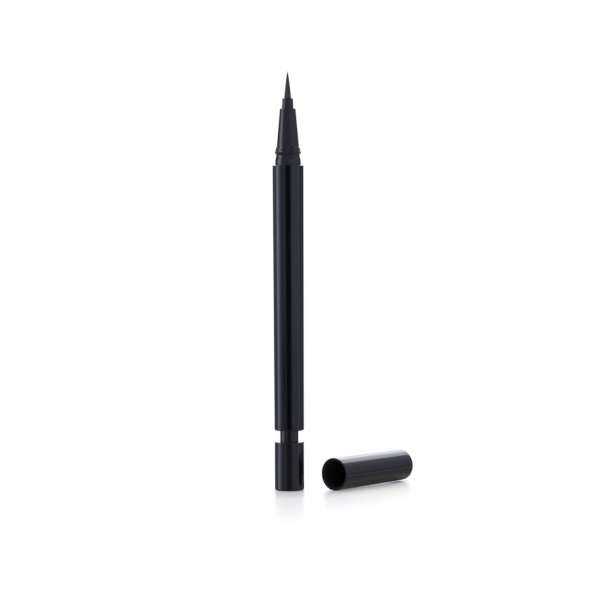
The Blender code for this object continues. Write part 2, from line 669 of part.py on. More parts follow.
def make_cap(looks, cap, liner):
    """Make the cap, the cup that slides in it to seal the nose and the cup's spring."""
    end = CAP_END_RADIUS - CAP_END_FILLET
    lip = CAP_MOUTH_RADIUS - CAP_LIP_FILLET
    ridge_end = CAP_RIDGE_DEPTH + CAP_RIDGE_LENGTH
    outline = [
        (0, CAP_FLOOR),
        (CAP_INNER_RADIUS, CAP_FLOOR),
        (CAP_INNER_RADIUS, ridge_end),
        (CAP_RIDGE_RADIUS, ridge_end),
        (CAP_RIDGE_RADIUS, CAP_RIDGE_DEPTH),
        (CAP_BORE_RADIUS, CAP_RIDGE_DEPTH),
        (CAP_BORE_RADIUS, CAP_MOUTH_CHAMFER),
        (CAP_BORE_RADIUS + CAP_MOUTH_CHAMFER, 0),
    ]
    outline += arc(lip, CAP_LIP_FILLET, CAP_LIP_FILLET, -90, 0)
    outline += arc(end, CAP_LENGTH - CAP_END_FILLET, CAP_END_FILLET, 0, 90)
    outline += [(0, CAP_LENGTH)]
    turned("cap_shell", outline, looks["cap"], cap, OUTER_STEPS)
    cup = [
        (0, CUP_BACK),
        (CUP_RADIUS, CUP_BACK),
        (CUP_RADIUS, CUP_MOUTH),
        (CUP_BORE_RADIUS + CUP_MOUTH_FLARE, CUP_MOUTH),
        (CUP_BORE_RADIUS, CUP_MOUTH + CUP_FLARE_LENGTH),
        (CUP_BORE_RADIUS, CUP_FLOOR),
        (0, CUP_FLOOR),
    ]
    turned("cap_liner", cup, looks["liner"], liner)
    wire = CAP_SPRING_WIRE_RADIUS
    foot, top = CUP_BACK + FIT, CAP_FLOOR - FIT
    coil("cap_spring", CAP_SPRING_RADIUS, wire, foot, top, CAP_SPRING_TURNS, looks["steel"], cap)


def make_looks():
    """Return the materials by their use."""
    return {
        "barrel": material("glossy_blue_black", (0.012, 0.013, 0.019), 0.16),
        "knob": material("satin_blue_black", (0.016, 0.018, 0.026), 0.24),
        "nose": material("glossy_nose_black", (0.012, 0.012, 0.016), 0.18),
        "holder": material("matt_black", (0.018, 0.018, 0.021), 0.45),
        "brush": material("dark_fibre", (0.050, 0.047, 0.058), 0.60),
        "cap": material("glossy_cap_black", (0.016, 0.016, 0.021), 0.17),
        "liner": material("inner_cup_black", (0.008, 0.008, 0.009), 0.50),
        "works": material("grey_works_plastic", (0.32, 0.33, 0.35), 0.42),
        "rotor": material("white_works_plastic", (0.72, 0.72, 0.70), 0.40),
        "tank": material("clear_grey_tank", (0.45, 0.47, 0.49), 0.22),
        "seal": material("black_rubber", (0.020, 0.020, 0.022), 0.75),
        "steel": material("bright_steel", (0.62, 0.63, 0.65), 0.26, 1.0),
    }


def main():
    """Clear the scene and model the pen and its cap."""
    for old in list(bpy.data.objects):
        bpy.data.objects.remove(old, do_unlink=True)
    looks = make_looks()
    pen = empty("pen_axis")
    knob = empty("knob_slide", parent=pen)
    turning = empty("rotor_turn", parent=knob)
    piston = empty("piston_slide", parent=pen)
    screw = empty("screw_turn", parent=piston)
    cap_place = (CAP_MOUTH_X, CAP_AXIS_Y, CAP_MOUTH_RADIUS)
    cap = empty("cap_slide", cap_place, (0, math.pi / 2, 0))
    liner = empty("liner_slide", parent=cap)
    make_knob(looks, knob)
    make_barrel(looks, pen)
    make_ratchet(looks, pen, turning)
    make_screw(looks, pen, screw)
    make_tank(looks, pen, piston)
    make_plug(looks, pen)
    make_nose(looks, pen)
    make_holder(looks, pen)
    make_brush(looks, pen)
    make_cap(looks, cap, liner)


main()
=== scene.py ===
"""A click-type liquid eyeliner pen standing on its push knob, with its cap lying beside it.

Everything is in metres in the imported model's own frame: +Z runs up the pen's axis from the
centre of the knob's foot, and +X along the loose cap's axis from its mouth to its closed end.
"""

import logging
import math
import random
from dataclasses import dataclass
from enum import Enum
from typing import Any, Optional, Sequence, Union

import bmesh
import bpy
from mathutils import Matrix, Vector


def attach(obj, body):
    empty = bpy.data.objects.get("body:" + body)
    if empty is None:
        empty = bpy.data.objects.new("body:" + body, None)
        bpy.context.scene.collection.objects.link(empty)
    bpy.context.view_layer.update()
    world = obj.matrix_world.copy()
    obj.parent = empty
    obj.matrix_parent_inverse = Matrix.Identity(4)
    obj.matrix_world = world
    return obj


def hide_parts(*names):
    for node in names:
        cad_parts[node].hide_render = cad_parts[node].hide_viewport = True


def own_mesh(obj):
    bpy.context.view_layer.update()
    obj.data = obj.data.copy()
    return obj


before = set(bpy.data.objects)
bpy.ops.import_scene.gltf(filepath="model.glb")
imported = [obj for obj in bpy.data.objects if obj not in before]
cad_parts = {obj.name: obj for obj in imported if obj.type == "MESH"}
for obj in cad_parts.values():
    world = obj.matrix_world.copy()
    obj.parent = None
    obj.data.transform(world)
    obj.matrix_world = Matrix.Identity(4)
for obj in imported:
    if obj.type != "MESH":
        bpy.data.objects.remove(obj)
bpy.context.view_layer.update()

log = logging.getLogger("eyeliner_pen")

Point = tuple[float, float]
Triple = tuple[float, float, float]
Colour = Triple
Window = tuple[Point, Point]

AHEAD: Point = (0.7577, 0.6526)  # the horizontal direction that the camera looks along
AROUND = 144  # the steps round a turned piece
ROUNDING_STEPS = 7  # the steps round one rounded corner
SHARP_ANGLE = math.radians(32)  # an edge that bends by more than this stays sharp
ON_AXIS = 1e-9  # a point nearer to the axis than this lies on it
EDGE_SHARE = 0.46  # the most of an edge that the rounding at one end may take

PLAIN: Triple = (1.0, 1.0, 1.0)
BLACK: Colour = (0.0, 0.0, 0.0)
WHITE = (1.0, 1.0, 1.0, 1.0)


class Signal:
    """One shader value, whose arithmetic adds Math nodes to its tree."""

    def __init__(self, bench: "NodeBench", socket: bpy.types.NodeSocket) -> None:
        """Wrap a socket.

        Args:
            bench: The node bench that the socket's tree is on.
            socket: The output socket that carries the value.
        """
        self.bench = bench
        self.socket = socket

    def _join(self, operation: str, first: "Number", second: "Number") -> "Signal":
        """Add a Math node.

        Args:
            operation: The Math node's operation.
            first: Its first value.
            second: Its second value.

        Returns:
            The result as a signal.
        """
        return self.bench.value("ShaderNodeMath", {"operation": operation}, {0: first, 1: second})

    def __add__(self, other: "Number") -> "Signal":
        """Return self + other."""
        return self._join("ADD", self, other)

    def __radd__(self, other: "Number") -> "Signal":
        """Return other + self."""
        return self._join("ADD", other, self)

    def __sub__(self, other: "Number") -> "Signal":
        """Return self - other."""
        return self._join("SUBTRACT", self, other)

    def __rsub__(self, other: "Number") -> "Signal":
        """Return other - self."""
        return self._join("SUBTRACT", other, self)

    def __mul__(self, other: "Number") -> "Signal":
        """Return self * other."""
        return self._join("MULTIPLY", self, other)

    def __rmul__(self, other: "Number") -> "Signal":
        """Return other * self."""
        return self._join("MULTIPLY", other, self)

    def __truediv__(self, other: "Number") -> "Signal":
        """Return self / other."""
        return self._join("DIVIDE", self, other)

    def __rtruediv__(self, other: "Number") -> "Signal":
        """Return other / self."""
        return self._join("DIVIDE", other, self)

    def turn_from(self, other: "Signal") -> "Signal":
        """Return the angle whose sine goes with self and cosine with other."""
        return self._join("ARCTAN2", self, other)

    def eased(self, low: float, high: float) -> "Signal":
        """Ease the value from 0 to 1.

        Args:
            low: The value that gives 0.
            high: The value that gives 1.

        Returns:
            The eased signal.
        """
        settings = {"interpolation_type": "SMOOTHSTEP"}
        return self.bench.value("ShaderNodeMapRange", settings, {0: self, 1: low, 2: high})

    def within(self, window: Window) -> "Signal":
        """Ease the value in over a window's first pair and out over its second.

        Args:
            window: Where the value comes in and where it goes, each as the start and end of its ease.

        Returns:
            The eased signal, 1 between the two.
        """
        rise, fall = window
        return self.eased(*rise) * (1 - self.eased(*fall))


Number = Union[Signal, float]


class NodeBench:
    """Builds the nodes of one material or world."""

    def __init__(self, tree: bpy.types.NodeTree) -> None:
        """Clear a tree to build on.

        Args:
            tree: The node tree of a material or world.
        """
        self.tree = tree
        tree.nodes.clear()

    def node(
        self,
        kind: str,
        settings: Optional[dict[str, Any]] = None,
        inputs: Optional[dict[Union[int, str], Any]] = None,
    ) -> bpy.types.Node:
        """Add one node.

        Args:
            kind: The node's type.
            settings: Properties of the node, set first; "stops" are a ramp's places and colours.
            inputs: A value, signal or output socket for each named or numbered socket.

        Returns:
            The new node.
        """
        made = self.tree.nodes.new(kind)
        for name, value in (settings or {}).items():
            if name == "stops":
                self._set_stops(made.color_ramp, value)
            else:
                setattr(made, name, value)
        for key, value in (inputs or {}).items():
            source = value.socket if isinstance(value, Signal) else value
            if isinstance(source, bpy.types.NodeSocket):
                self.tree.links.new(source, made.inputs[key])
            else:
                made.inputs[key].default_value = source
        return made

    def value(
        self,
        kind: str,
        settings: Optional[dict[str, Any]] = None,
        inputs: Optional[dict[Union[int, str], Any]] = None,
        output: Union[int, str] = 0,
    ) -> Signal:
        """Add one node and return one of its outputs as a signal.

        Args:
            kind: The node's type.
            settings: Properties of the node.
            inputs: Values or links of its sockets.
            output: The output's name or number.

        Returns:
            The output as a signal.
        """
        return Signal(self, self.node(kind, settings, inputs).outputs[output])

    def blend(self, share: Number, first: Any, second: Any) -> bpy.types.NodeSocket:
        """Mix two colours.

        Args:
            share: How much of the second colour shows, from 0 to 1.
            first: The colour at 0, as three numbers or a socket.
            second: The colour at 1.

        Returns:
            The mixed colour's socket.
        """
        ends = [c if isinstance(c, bpy.types.NodeSocket) else (*c, 1.0) for c in (first, second)]
        mix = self.node("ShaderNodeMix", {"data_type": "RGBA"}, {0: share, 6: ends[0], 7: ends[1]})
        return mix.outputs[2]

    def layered(
        self, share: Signal, under: bpy.types.NodeSocket, over: bpy.types.NodeSocket
    ) -> bpy.types.NodeSocket:
        """Mix two shaders.

        Args:
            share: How much of the second shader shows, from 0 to 1.
            under: The shader at 0.
            over: The shader at 1.

        Returns:
            The mixed shader's socket.
        """
        return self.node("ShaderNodeMixShader", None, {0: share, 1: under, 2: over}).outputs[0]

    def places(self, stretch: Triple) -> bpy.types.NodeSocket:
        """Return the piece's own coordinates in metres, each multiplied by a number."""
        own = self.node("ShaderNodeTexCoord").outputs["Object"]
        return self.node("ShaderNodeVectorMath", {"operation": "MULTIPLY"}, {0: own, 1: stretch}).outputs[0]

    def length(self, vector: bpy.types.NodeSocket) -> Signal:
        """Return a vector's length."""
        return self.value("ShaderNodeVectorMath", {"operation": "LENGTH"}, {0: vector}, "Value")

    def axes(self, vector: bpy.types.NodeSocket) -> tuple[Signal, ...]:
        """Return a vector's X, Y and Z."""
        parts = self.node("ShaderNodeSeparateXYZ", None, {0: vector})
        return tuple(Signal(self, parts.outputs[i]) for i in range(3))

    def rays(self) -> tuple[Signal, Signal]:
        """Tell how a place is seen.

        Returns:
            1 where the camera looks at it, and 1 where something glossy or clear shows it.
        """
        path = self.node("ShaderNodeLightPath")
        kinds = ("Is Camera Ray", "Is Glossy Ray", "Is Transmission Ray")
        seen, glossy, through = (Signal(self, path.outputs[kind]) for kind in kinds)
        return seen, glossy + through

    def bump(self, height: Signal, distance: float, strength: float = 1.0) -> bpy.types.NodeSocket:
        """Turn a height into a bumped normal.

        Args:
            height: The height, from 0 to 1.
            distance: What a height of 1 stands for in metres.
            strength: The share of it that shows.

        Returns:
            The normal's socket.
        """
        inputs = {"Height": height, "Distance": distance, "Strength": strength}
        return self.node("ShaderNodeBump", None, inputs).outputs[0]

    def grain(self, size: float, detail: float, stretch: Triple = PLAIN) -> Signal:
        """Make noise in the piece's own coordinates.

        Args:
            size: The size of its lumps in metres.
            detail: The number of finer layers.
            stretch: How much each axis is multiplied by first.

        Returns:
            Noise from 0 to 1.
        """
        inputs = {"Vector": self.places(stretch), "Scale": 1.0 / size, "Detail": detail}
        return self.value("ShaderNodeTexNoise", None, inputs)

    @staticmethod
    def _set_stops(ramp: bpy.types.ColorRamp, stops: Sequence[tuple[float, Colour]]) -> None:
        """Give a ramp its stops.

        Args:
            ramp: The colour ramp.
            stops: Each stop's place from 0 to 1 and its colour.
        """
        while len(ramp.elements) > 1:
            ramp.elements.remove(ramp.elements[-1])
        ramp.elements[0].position, ramp.elements[0].color = stops[0][0], (*stops[0][1], 1.0)
        for place, colour in stops[1:]:
            ramp.elements.new(place).color = (*colour, 1.0)


def new_material(name: str) -> tuple[bpy.types.Material, NodeBench]:
    """Make a material to build on.

    Args:
        name: The material's name.

    Returns:
        The material and the bench for its nodes.
    """
    made = bpy.data.materials.new(name)
    made.use_nodes = True
    return made, NodeBench(made.node_tree)


class Finish:
    """A finish, which makes its material from what it puts into one Principled shader."""

    def sockets(self, bench: NodeBench) -> dict[str, Any]:
        """Work out what goes into the shader.

        Args:
            bench: The material's node bench.

        Returns:
            A value, signal or output socket for each of the shader's sockets.
        """
        raise NotImplementedError

    def make(self, name: str) -> bpy.types.Material:
        """Make the material.

        Args:
            name: The material's name.

        Returns:
            The material.
        """
        made, bench = new_material(name)
        shader = bench.node("ShaderNodeBsdfPrincipled", None, self.sockets(bench))
        bench.node("ShaderNodeOutputMaterial", None, {0: shader.outputs[0]})
        return made


@dataclass(frozen=True)
class MouldedPlastic(Finish):
    """A moulded plastic skin, with the faint ripple of its mould and the drift of its gloss.

    Attributes:
        colour: The plastic's own colour.
        roughness: How far its skin is from a mirror.
        gloss_drift: How much the roughness changes over the piece.
        tone_drift: The share by which the colour lightens in places.
        drift_size: The size of those places in metres.
        drift_stretch: What each axis is multiplied by, which draws them out along the piece.
        ripple_size: The size of the mould's ripples in metres.
        ripple_height: Their height in metres.
        ripple_stretch: What each axis is multiplied by, which draws the ripples out.
        mirror_tint: The tint of what it reflects face on.
        mirror_level: How much it reflects; 0.5 is a plain plastic's share.
    """

    colour: Colour
    roughness: float
    gloss_drift: float = 0.03
    tone_drift: float = 0.35
    drift_size: float = 0.006
    drift_stretch: Triple = (1.0, 1.0, 0.35)
    ripple_size: float = 0.0022
    ripple_height: float = 0.0000012
    ripple_stretch: Triple = (1.0, 1.0, 0.5)
    mirror_tint: Colour = PLAIN
    mirror_level: float = 0.5

    def sockets(self, bench: NodeBench) -> dict[str, Any]:
        """Work out what goes into the plastic's shader.

        Args:
            bench: The material's node bench.

        Returns:
            A value, signal or output socket for each of the shader's sockets.
        """
        drift = bench.grain(self.drift_size, detail=3.0, stretch=self.drift_stretch)
        lighter = tuple(c * (1 + self.tone_drift) for c in self.colour)
        ripple = bench.grain(self.ripple_size, detail=1.0, stretch=self.ripple_stretch)
        return {
            "Base Color": bench.blend(drift, self.colour, lighter),
            "Roughness": self.roughness + (drift - 0.5) * (2 * self.gloss_drift),
            "Normal": bench.bump(ripple, self.ripple_height),
            "Specular Tint": (*self.mirror_tint, 1.0),
            "Specular IOR Level": self.mirror_level,
        }


@dataclass(frozen=True)
class BrushFibre(Finish):
    """Fine black hair, with lengthwise highlights painted into its colour where single hairs catch the
    light.

    Attributes:
        dark: The colour between the hairs.
        light: The painted highlight colour along the lit hairs.
        roughness: The hair's roughness.
        sheen: How much smoother the lit hairs are.
        hair_width: A hair's width in metres.
        hair_stretch: What each axis is multiplied by, which draws the hairs out.
        painted_highlight_range: The noise at which a hair's painted highlight starts and is full.
        relief: The height of the hairs in metres.
        relief_share: The share of it that shows.
    """

    dark: Colour
    light: Colour
    roughness: float
    sheen: float = 0.08
    hair_width: float = 0.00011
    hair_stretch: Triple = (1.0, 1.0, 0.035)
    painted_highlight_range: Point = (0.38, 0.66)
    relief: float = 0.00003
    relief_share: float = 0.6

    def sockets(self, bench: NodeBench) -> dict[str, Any]:
        """Work out what goes into the hair's shader.

        Args:
            bench: The material's node bench.

        Returns:
            A value, signal or output socket for each of the shader's sockets.
        """
        streaks = bench.grain(self.hair_width, detail=2.0, stretch=self.hair_stretch)
        # lighter streaks painted into the hair's colour as highlights
        lit = streaks.eased(*self.painted_highlight_range)
        return {
            "Base Color": bench.blend(lit, self.dark, self.light),
            "Roughness": self.roughness - lit * self.sheen,
            "Normal": bench.bump(streaks, self.relief, self.relief_share),
        }


@dataclass(frozen=True)
class SoftRubber(Finish):
    """A dull seal rubber with a fine grain.

    Attributes:
        colour: The rubber's colour.
        roughness: Its roughness.
        gloss_drift: How much the roughness changes with its bloom.
        bloom_size: The size of the places that are paler.
        bloom_tone: How many times lighter those places are.
        grain_size: The size of its grain.
        grain_height: The height of its grain.
        grain_share: The share of that height that shows.
        mirror_level: How much it reflects; 0.5 is a plain plastic's share.
    """

    colour: Colour
    roughness: float = 0.7
    gloss_drift: float = 0.2
    bloom_size: float = 0.0009
    bloom_tone: float = 1.9
    grain_size: float = 0.00012
    grain_height: float = 0.000006
    grain_share: float = 0.5
    mirror_level: float = 0.35

    def sockets(self, bench: NodeBench) -> dict[str, Any]:
        """Work out what goes into the rubber's shader.

        Args:
            bench: The material's node bench.

        Returns:
            A value, signal or output socket for each of the shader's sockets.
        """
        bloom = bench.grain(self.bloom_size, detail=4.0)
        grain = bench.grain(self.grain_size, detail=2.0)
        pale = tuple(c * self.bloom_tone for c in self.colour)
        return {
            "Base Color": bench.blend(bloom, self.colour, pale),
            "Roughness": self.roughness + (bloom - 0.5) * self.gloss_drift,
            "Normal": bench.bump(grain, self.grain_height, self.grain_share),
            "Specular IOR Level": self.mirror_level,
        }


@dataclass(frozen=True)
class DrawnSteel(Finish):
    """Bright steel wire or tube with lengthwise draw marks.

    Attributes:
        colour: The steel's colour.
        roughness: Its roughness between the marks.
        gloss_drift: How much rougher the marks are.
        dull_tone: The share of its colour that is left between the marks.
        mark_width: The width of a mark.
        mark_stretch: What each axis is multiplied by, which draws the marks out.
        mark_depth: The depth of a mark.
        mark_share: The share of that depth that shows.
    """

    colour: Colour
    roughness: float = 0.2
    gloss_drift: float = 0.12
    dull_tone: float = 0.8
    mark_width: float = 0.00008
    mark_stretch: Triple = (1.0, 1.0, 0.05)
    mark_depth: float = 0.000002
    mark_share: float = 0.5

    def sockets(self, bench: NodeBench) -> dict[str, Any]:
        """Work out what goes into the steel's shader.

        Args:
            bench: The material's node bench.

        Returns:
            A value, signal or output socket for each of the shader's sockets.
        """
        marks = bench.grain(self.mark_width, detail=3.0, stretch=self.mark_stretch)
        dull = tuple(c * self.dull_tone for c in self.colour)
        return {
            "Base Color": bench.blend(marks, dull, self.colour),
            "Metallic": 1.0,
            "Roughness": self.roughness + marks * self.gloss_drift,
            "Normal": bench.bump(marks, self.mark_depth, self.mark_share),
        }


class Look(Enum):
    """The finishes of the pen, by the record's material slots."""

    BARREL = "barrel"
    NOSE = "nose"
    KNOB = "knob"
    CAP = "cap"
    HOLDER = "holder"
    LINER = "liner"
    BRUSH = "brush"
    WORKS = "works"
    ROTOR = "rotor"
    TANK = "tank"
    SEAL = "seal"
    STEEL = "steel"


COOL: Colour = (0.93, 0.95, 1.0)
FINISHES: dict[Look, Finish] = {
    Look.BARREL: MouldedPlastic((0.0020, 0.0021, 0.0030), 0.075, mirror_tint=COOL),
    Look.NOSE: MouldedPlastic((0.0022, 0.0022, 0.0029), 0.10, mirror_tint=COOL),
    Look.KNOB: MouldedPlastic((0.0024, 0.0026, 0.0034), 0.18, mirror_tint=COOL),
    Look.CAP: MouldedPlastic((0.0024, 0.0024, 0.0030), 0.085, mirror_tint=COOL),
    Look.HOLDER: MouldedPlastic(
        (0.0030, 0.0030, 0.0040), 0.22, gloss_drift=0.05, ripple_size=0.0004, ripple_height=0.000002
    ),
    Look.LINER: MouldedPlastic(
        (0.0135, 0.0132, 0.0138),
        0.55,
        gloss_drift=0.06,
        ripple_size=0.0005,
        ripple_height=0.000003,
        mirror_level=0.08,
    ),
    Look.BRUSH: BrushFibre((0.026, 0.024, 0.030), (0.100, 0.095, 0.116), 0.55),
    Look.WORKS: MouldedPlastic(
        (0.32, 0.33, 0.35), 0.42, gloss_drift=0.05, tone_drift=0.12, ripple_size=0.0006
    ),
    Look.ROTOR: MouldedPlastic(
        (0.72, 0.72, 0.70), 0.40, gloss_drift=0.05, tone_drift=0.08, ripple_size=0.0006
    ),
    Look.TANK: MouldedPlastic((0.45, 0.47, 0.49), 0.22, gloss_drift=0.05, tone_drift=0.10),
    Look.SEAL: SoftRubber((0.020, 0.020, 0.022)),
    Look.STEEL: DrawnSteel((0.62, 0.63, 0.65)),
}


@dataclass(frozen=True)
class Corner:
    """One corner of a turned piece's half section.

    Attributes:
        radius: Its distance from the axis.
        level: Its level along the axis.
        soft: The radius that it is rounded to.
    """

    radius: float
    level: float
    soft: float = 0.0


def bridge(mesh: bmesh.types.BMesh, rings: Sequence[list[bmesh.types.BMVert]]) -> None:
    """Join rings of the same count with faces, each to the next.

    Args:
        mesh: The mesh that the rings are in.
        rings: The rings in order.
    """
    for low, high in zip(rings, rings[1:]):
        for i in range(len(low)):
            j = (i + 1) % len(low)
            mesh.faces.new((low[i], low[j], high[j], high[i]))


class Workshop:
    """Makes meshes, gives every piece its finish and its body, and hides the imported solid that it stands
    for.
    """

    def __init__(self) -> None:
        """Make every finish once."""
        self.materials = {look: finish.make(look.value + "_finish") for look, finish in FINISHES.items()}

    @staticmethod
    def rounded(corners: Sequence[Corner], guard: float = 0.00006) -> list[Point]:
        """Round the corners of a half section.

        Args:
            corners: The section's corners in order.
            guard: The distance of a point set beside each rounding, which keeps the flat beside it flat.

        Returns:
            The outline's points, each a radius and a level.
        """
        points: list[Point] = []
        for i, corner in enumerate(corners):
            here = Vector((corner.radius, corner.level))
            if corner.soft <= 0 or i in (0, len(corners) - 1):
                points.append((here.x, here.y))
                continue
            back = Vector((corners[i - 1].radius, corners[i - 1].level)) - here
            ahead = Vector((corners[i + 1].radius, corners[i + 1].level)) - here
            half = back.angle(ahead) / 2
            reach = min(corner.soft / math.tan(half), EDGE_SHARE * back.length, EDGE_SHARE * ahead.length)
            soft = reach * math.tan(half)
            back.normalize()
            ahead.normalize()
            centre = here + (back + ahead).normalized() * (soft / math.sin(half))
            first, last = here + back * reach, here + ahead * reach
            spread = (first - centre).angle_signed(last - centre)
            points.append(tuple(first + back * guard))
            for k in range(ROUNDING_STEPS + 1):
                spoke = (first - centre).copy()
                spoke.rotate(Matrix.Rotation(-spread * k / ROUNDING_STEPS, 2))
                points.append(tuple(centre + spoke))
            points.append(tuple(last + ahead * guard))
        return points

    @staticmethod
    def bounded(name: str, mesh: bmesh.types.BMesh, place: Matrix) -> bpy.types.Object:
        """Turn a mesh in the making into an object.

        Args:
            name: The piece's name.
            mesh: Its mesh, in its own coordinates.
            place: Where those coordinates stand in the model's frame.

        Returns:
            The object.
        """
        bmesh.ops.recalc_face_normals(mesh, faces=mesh.faces)
        data = bpy.data.meshes.new(name)
        mesh.to_mesh(data)
        mesh.free()
        data.shade_smooth()
        data.set_sharp_from_angle(angle=SHARP_ANGLE)
        made = bpy.data.objects.new(name, data)
        made.matrix_world = place
        bpy.context.scene.collection.objects.link(made)
        return made

    def turned(
        self, name: str, outline: Sequence[Point], place: Matrix = Matrix.Identity(4)
    ) -> bpy.types.Object:
        """Turn an outline about its own Z.

        Args:
            name: The piece's name.
            outline: Points of radius and level; it is closed unless it starts on the axis.
            place: Where the piece's own frame stands in the model's frame.

        Returns:
            The object.
        """
        mesh = bmesh.new()
        turns = [math.tau * i / AROUND for i in range(AROUND)]
        rows = []
        for radius, level in outline:
            if radius < ON_AXIS:
                rows.append([mesh.verts.new((0, 0, level))])
                continue
            rows.append([mesh.verts.new((radius * math.cos(t), radius * math.sin(t), level)) for t in turns])
        pairs = list(zip(rows, rows[1:]))
        if len(rows[0]) > 1:
            pairs.append((rows[-1], rows[0]))
        for low, high in pairs:
            for i in range(AROUND):
                j = (i + 1) % AROUND
                ring = [low[i % len(low)], low[j % len(low)], high[j % len(high)], high[i % len(high)]]
                corners = list(dict.fromkeys(ring))
                if len(corners) > 2:
                    mesh.faces.new(corners)
        return self.bounded(name, mesh, place)

    def swept(
        self, name: str, line: Sequence[Vector], wire: float, sides: int, place: Matrix
    ) -> bpy.types.Object:
        """Sweep a round wire along a line.

        Args:
            name: The piece's name.
            line: The wire's centre line.
            wire: The wire's radius.
            sides: The number of its sides.
            place: Where the piece's own frame stands in the model's frame.

        Returns:
            The object.
        """
        mesh = bmesh.new()
        turns = [math.tau * k / sides for k in range(sides)]
        rows = []
        for i, centre in enumerate(line):
            ahead = line[min(i + 1, len(line) - 1)] - line[max(i - 1, 0)]
            out = Vector((centre.x, centre.y, 0)).normalized()
            lift = ahead.cross(out).normalized()
            out = lift.cross(ahead).normalized()
            spokes = [out * math.cos(t) + lift * math.sin(t) for t in turns]
            rows.append([mesh.verts.new(centre + wire * spoke) for spoke in spokes])
        bridge(mesh, rows)
        mesh.faces.new(rows[0])
        mesh.faces.new(rows[-1])
        return self.bounded(name, mesh, place)

    def fit(self, piece: bpy.types.Object, look: Look, body: str, node: str) -> None:
        """Dress a piece and set it on its body.

        Args:
            piece: The piece.
            look: Its finish.
            body: The body that it moves with.
            node: The CAD node that it stands for.
        """
        piece.data.materials.append(self.materials[look])
        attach(piece, body)
        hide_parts(node)
        log.info("%s: %d faces, on %s, %s", piece.name, len(piece.data.polygons), body, look.value)


@dataclass(frozen=True)
class Barrel:
    """The long glossy tube, a little thinner at its tail.

    Attributes:
        tail: The level of its tail.
        front: The level of its front, where the nose sits.
        bore_radius: Its bore's radius.
        tail_radius: Its outer radius at the tail.
        front_radius: Its outer radius at the front.
        tail_soft: The rounding of its tail edge.
        front_soft: The rounding of its front edge.
    """

    tail: float = 0.0201
    front: float = 0.1085
    bore_radius: float = 0.0041
    tail_radius: float = 0.00492
    front_radius: float = 0.00516
    tail_soft: float = 0.00035
    front_soft: float = 0.00005

    def build(self, shop: Workshop) -> None:
        """Build the tube."""
        outline = shop.rounded(
            [
                Corner(self.bore_radius, self.tail),
                Corner(self.tail_radius, self.tail, self.tail_soft),
                Corner(self.front_radius, self.front, self.front_soft),
                Corner(self.bore_radius, self.front),
            ]
        )
        shop.fit(shop.turned("barrel_tube", outline), Look.BARREL, "pen", "barrel")


@dataclass(frozen=True)
class PushKnob:
    """The push knob that the pen stands on, and its stem, whose neck shows above it.

    Attributes:
        height: The knob's height.
        floor: The thickness of its floor.
        foot_radius: Its outer radius above the foot's rounding.
        top_radius: Its outer radius at the top.
        foot_soft: The rounding of its foot.
        top_soft: The rounding of its top edge.
        hole_soft: The rounding of the rim of its hole.
        hole_radius: The radius of the hole that holds the stem.
        neck_radius: The stem's radius.
        stem_foot: The level of the stem's foot in the knob.
        flange_foot: The level of the stem's flange.
        flange_top: The level of the flange's upper face.
        flange_radius: The flange's radius.
        crown_radius: The radius of the stem above its flange.
        crown_foot: The level where the crown's teeth start.
        tooth_height: The height of the teeth.
        teeth: The number of teeth.
        tooth_steps: The number of steps round one tooth.
        bore_radius: The stem's bore.
    """

    height: float = 0.01625
    floor: float = 0.0015
    foot_radius: float = 0.00494
    top_radius: float = 0.00486
    foot_soft: float = 0.0006
    top_soft: float = 0.00022
    hole_soft: float = 0.00005
    hole_radius: float = 0.0032
    neck_radius: float = 0.00305
    stem_foot: float = 0.0060
    flange_foot: float = 0.02405
    flange_top: float = 0.02505
    flange_radius: float = 0.00395
    crown_radius: float = 0.00285
    crown_foot: float = 0.03065
    tooth_height: float = 0.0006
    teeth: int = 12
    tooth_steps: int = 8
    bore_radius: float = 0.00175

    def build(self, shop: Workshop) -> None:
        """Build the knob and its stem."""
        self._build_shell(shop)
        self._build_stem(shop)

    def _build_shell(self, shop: Workshop) -> None:
        """Build the knob's cup."""
        outline = shop.rounded(
            [
                Corner(0, 0),
                Corner(self.foot_radius, 0, self.foot_soft),
                Corner(self.top_radius, self.height, self.top_soft),
                Corner(self.hole_radius, self.height, self.hole_soft),
                Corner(self.hole_radius, self.floor),
                Corner(0, self.floor),
            ]
        )
        shop.fit(shop.turned("knob_cup", outline), Look.KNOB, "knob", "knob_shell")

    def _build_stem(self, shop: Workshop) -> None:
        """Build the hollow stem with its flange and its crown of saw teeth.

        Args:
            shop: The workshop that makes the stem and fits it.
        """
        around = self.teeth * self.tooth_steps
        levels = [
            (self.neck_radius, self.stem_foot, 0.0),
            (self.neck_radius, self.flange_foot, 0.0),
            (self.flange_radius, self.flange_foot, 0.0),
            (self.flange_radius, self.flange_top, 0.0),
            (self.crown_radius, self.flange_top, 0.0),
            (self.crown_radius, self.crown_foot, self.tooth_height),
            (self.bore_radius, self.crown_foot, self.tooth_height),
            (self.bore_radius, self.stem_foot, 0.0),
        ]
        mesh = bmesh.new()
        rows = []
        for radius, level, rise in levels:
            row = []
            for i in range(around):
                turn = math.tau * i / around
                tooth = 1 - abs(2 * ((i % self.tooth_steps) / self.tooth_steps) - 1)
                spot = (radius * math.cos(turn), radius * math.sin(turn), level + rise * tooth)
                row.append(mesh.verts.new(spot))
            rows.append(row)
        bridge(mesh, rows + rows[:1])
        shop.fit(shop.bounded("stem_tube", mesh, Matrix.Identity(4)), Look.KNOB, "knob", "push_stem")


